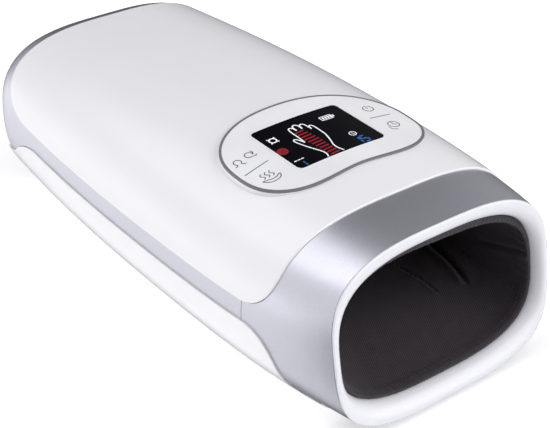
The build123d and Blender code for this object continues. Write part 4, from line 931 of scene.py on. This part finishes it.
def pillow(name, node, body, slot, crown, edge_power):
    """A closed pad with soft corners and crowned faces inside the node's own box."""
    low, high = (np.array(corner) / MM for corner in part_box(node))
    middle, half = (low + high) / 2, (high - low) / 2
    rows, columns = 26, 96
    turns = np.linspace(0, 2 * math.pi, columns, endpoint=False)
    reach = (np.abs(np.cos(turns)) ** edge_power + np.abs(np.sin(turns)) ** edge_power) ** (-1.0 / edge_power)
    outline = np.stack([half[0] * reach * np.cos(turns), half[1] * reach * np.sin(turns)], 1)
    points = [middle + np.array([0.0, 0.0, half[2]])]
    steps = np.linspace(0.0, math.pi, rows + 1)[1:-1]
    for step in steps:
        share = math.sin(step) ** PAD_SIDE_POWER
        rise = math.copysign(abs(math.cos(step)) ** (1.0 - crown), math.cos(step))
        for x, y in outline * share:
            points.append(middle + np.array([x, y, half[2] * rise]))
    points.append(middle - np.array([0.0, 0.0, half[2]]))
    faces = [(0, 1 + j, 1 + (j + 1) % columns) for j in range(columns)]
    for i in range(len(steps) - 1):
        for j in range(columns):
            a, b = 1 + i * columns + j, 1 + i * columns + (j + 1) % columns
            faces.append((a, a + columns, b + columns, b))
    last, tail = len(points) - 1, 1 + (len(steps) - 1) * columns
    faces += [(last, tail + (j + 1) % columns, tail + j) for j in range(columns)]
    made = object_of(name, points, faces, MATERIALS[slot])
    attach(made, body)
    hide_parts(node)


pillow("upper_pad_soft", "upper_pad", "upper_press", "pad_foam", 0.55, 5.0)
pillow("heated_pad_soft", "heated_pad", "heated_press", "pad_foam", 0.55, 5.0)


display_marks()
panel_marks()


# Floor, light and camera

# Stage lengths are metres. The glow fades between the near and the far distance to what is left of it.
FLOOR_REACH = 3.0
BACKDROP_RADIUS = 4.4
FLOOR_GLOW = 0.34
BACKDROP_GLOW = 1.0
GLOW_NEAR = 0.8
GLOW_FAR = 2.4
GLOW_LEFT = 0.35

# Studio light: where each soft lobe stands, its half angle in degrees and its strength
LIGHT_TINT = (0.985, 0.98, 1.0)
LOBE_SOFTNESS = 0.5
LOBES = {
    "zenith": ((-0.05, -0.05, 1.0), 28, 1.14),
    "left": ((-0.87, 0.38, 0.31), 36, 1.01),
    "shoulder": ((-0.26, 0.52, 0.79), 20, 1.42),
    "rear": ((-0.25, 0.97, 0.02), 24, 0.3),
    "right": ((1.0, -0.2, 0.3), 40, 0.5),
    "front_right": ((0.43, -0.84, 0.44), 28, 2.5),
    "under_left": ((-0.51, 0.68, -0.53), 31, 1.08),
}


def pale_stage(name, points, faces, glow):
    """A stage surface that shines a little by itself, less so away from the object."""
    mesh = bpy.data.meshes.new(name)
    mesh.from_pydata(points, [], faces)
    surface = bpy.data.objects.new(name, mesh)
    bpy.context.collection.objects.link(surface)
    finish = moulded(name + "_pale", (0.93, 0.93, 0.935), 0.85, 60.0, 0.004)
    nodes, links = finish.node_tree.nodes, finish.node_tree.links
    shader = nodes["Principled BSDF"]
    shader.inputs["Emission Color"].default_value = (1.0, 1.0, 1.0, 1.0)
    place = nodes.new("ShaderNodeTexCoord")
    away = nodes.new("ShaderNodeVectorMath")
    away.operation = "LENGTH"
    fade = nodes.new("ShaderNodeMapRange")
    fade.interpolation_type = "SMOOTHSTEP"
    fade.inputs["From Min"].default_value = GLOW_NEAR
    fade.inputs["From Max"].default_value = GLOW_FAR
    fade.inputs["To Min"].default_value = glow
    fade.inputs["To Max"].default_value = glow * GLOW_LEFT
    links.new(place.outputs["Object"], away.inputs[0])
    links.new(away.outputs["Value"], fade.inputs["Value"])
    links.new(fade.outputs["Result"], shader.inputs["Emission Strength"])
    mesh.materials.append(finish)
    surface.visible_glossy = False
    return surface


def make_stage():
    """A wide pale floor, and a far backdrop that only the camera sees."""
    reach = FLOOR_REACH
    corners = [(-reach, -reach, 0), (reach, -reach, 0), (reach, reach, 0), (-reach, reach, 0)]
    pale_stage("floor", corners, [(0, 1, 2, 3)], FLOOR_GLOW)
    radius, rows, columns = BACKDROP_RADIUS, 24, 48
    points = []
    for i in range(rows + 1):
        up = math.pi * (i / rows - 0.5)
        level, height = radius * math.cos(up), radius * math.sin(up)
        for j in range(columns):
            turn = 2 * math.pi * j / columns
            points.append((level * math.cos(turn), level * math.sin(turn), height))
    faces = []
    for i in range(rows):
        for j in range(columns):
            a, b = i * columns + j, i * columns + (j + 1) % columns
            faces.append((a, a + columns, b + columns, b))
    backdrop = pale_stage("backdrop", points, faces, BACKDROP_GLOW)
    backdrop.visible_diffuse = False
    backdrop.visible_shadow = False


def studio_world():
    """Pale surroundings made of soft lobes of light, with one side left dark for the silver paint."""
    world = bpy.data.worlds.new("studio")
    bpy.context.scene.world = world
    world.use_nodes = True
    nodes, links = world.node_tree.nodes, world.node_tree.links
    background = nodes["Background"]
    background.inputs["Color"].default_value = (*LIGHT_TINT, 1.0)
    place = nodes.new("ShaderNodeTexCoord")
    total = None
    for toward, half_angle, strength in LOBES.values():
        near = nodes.new("ShaderNodeVectorMath")
        near.operation = "DOT_PRODUCT"
        near.inputs[1].default_value = Vector(toward).normalized()
        share = nodes.new("ShaderNodeMapRange")
        share.interpolation_type = "SMOOTHSTEP"
        share.inputs["From Min"].default_value = math.cos(math.radians(half_angle * (1 + LOBE_SOFTNESS)))
        share.inputs["From Max"].default_value = math.cos(math.radians(half_angle * (1 - LOBE_SOFTNESS)))
        share.inputs["To Max"].default_value = strength
        links.new(place.outputs["Generated"], near.inputs[0])
        links.new(near.outputs["Value"], share.inputs["Value"])
        if total is None:
            total = share.outputs["Result"]
            continue
        both = nodes.new("ShaderNodeMath")
        links.new(total, both.inputs[0])
        links.new(share.outputs["Result"], both.inputs[1])
        total = both.outputs["Value"]
    links.new(total, background.inputs["Strength"])


def make_camera():
    """The camera that took the photograph."""
    lens = bpy.data.cameras.new("camera")
    camera = bpy.data.objects.new("camera", lens)
    bpy.context.collection.objects.link(camera)
    lens.lens = CAMERA_LENS
    lens.sensor_fit = "HORIZONTAL"
    lens.sensor_width = CAMERA_SENSOR
    lens.clip_start = CAMERA_NEAR
    back = Vector(CAMERA_BACK).normalized()
    side = Vector((0, 0, 1)).cross(back).normalized()
    rise = back.cross(side)
    rolled_side = side * math.cos(CAMERA_ROLL) + rise * math.sin(CAMERA_ROLL)
    rolled_rise = rise * math.cos(CAMERA_ROLL) - side * math.sin(CAMERA_ROLL)
    axes = Matrix((rolled_side, rolled_rise, back)).transposed()
    camera.matrix_world = Matrix.Translation(CAMERA_PLACE) @ axes.to_4x4()
    bpy.context.scene.camera = camera


make_stage()
studio_world()
make_camera()
bpy.context.scene.view_settings.view_transform = "Standard"

bpy.context.view_layer.update()
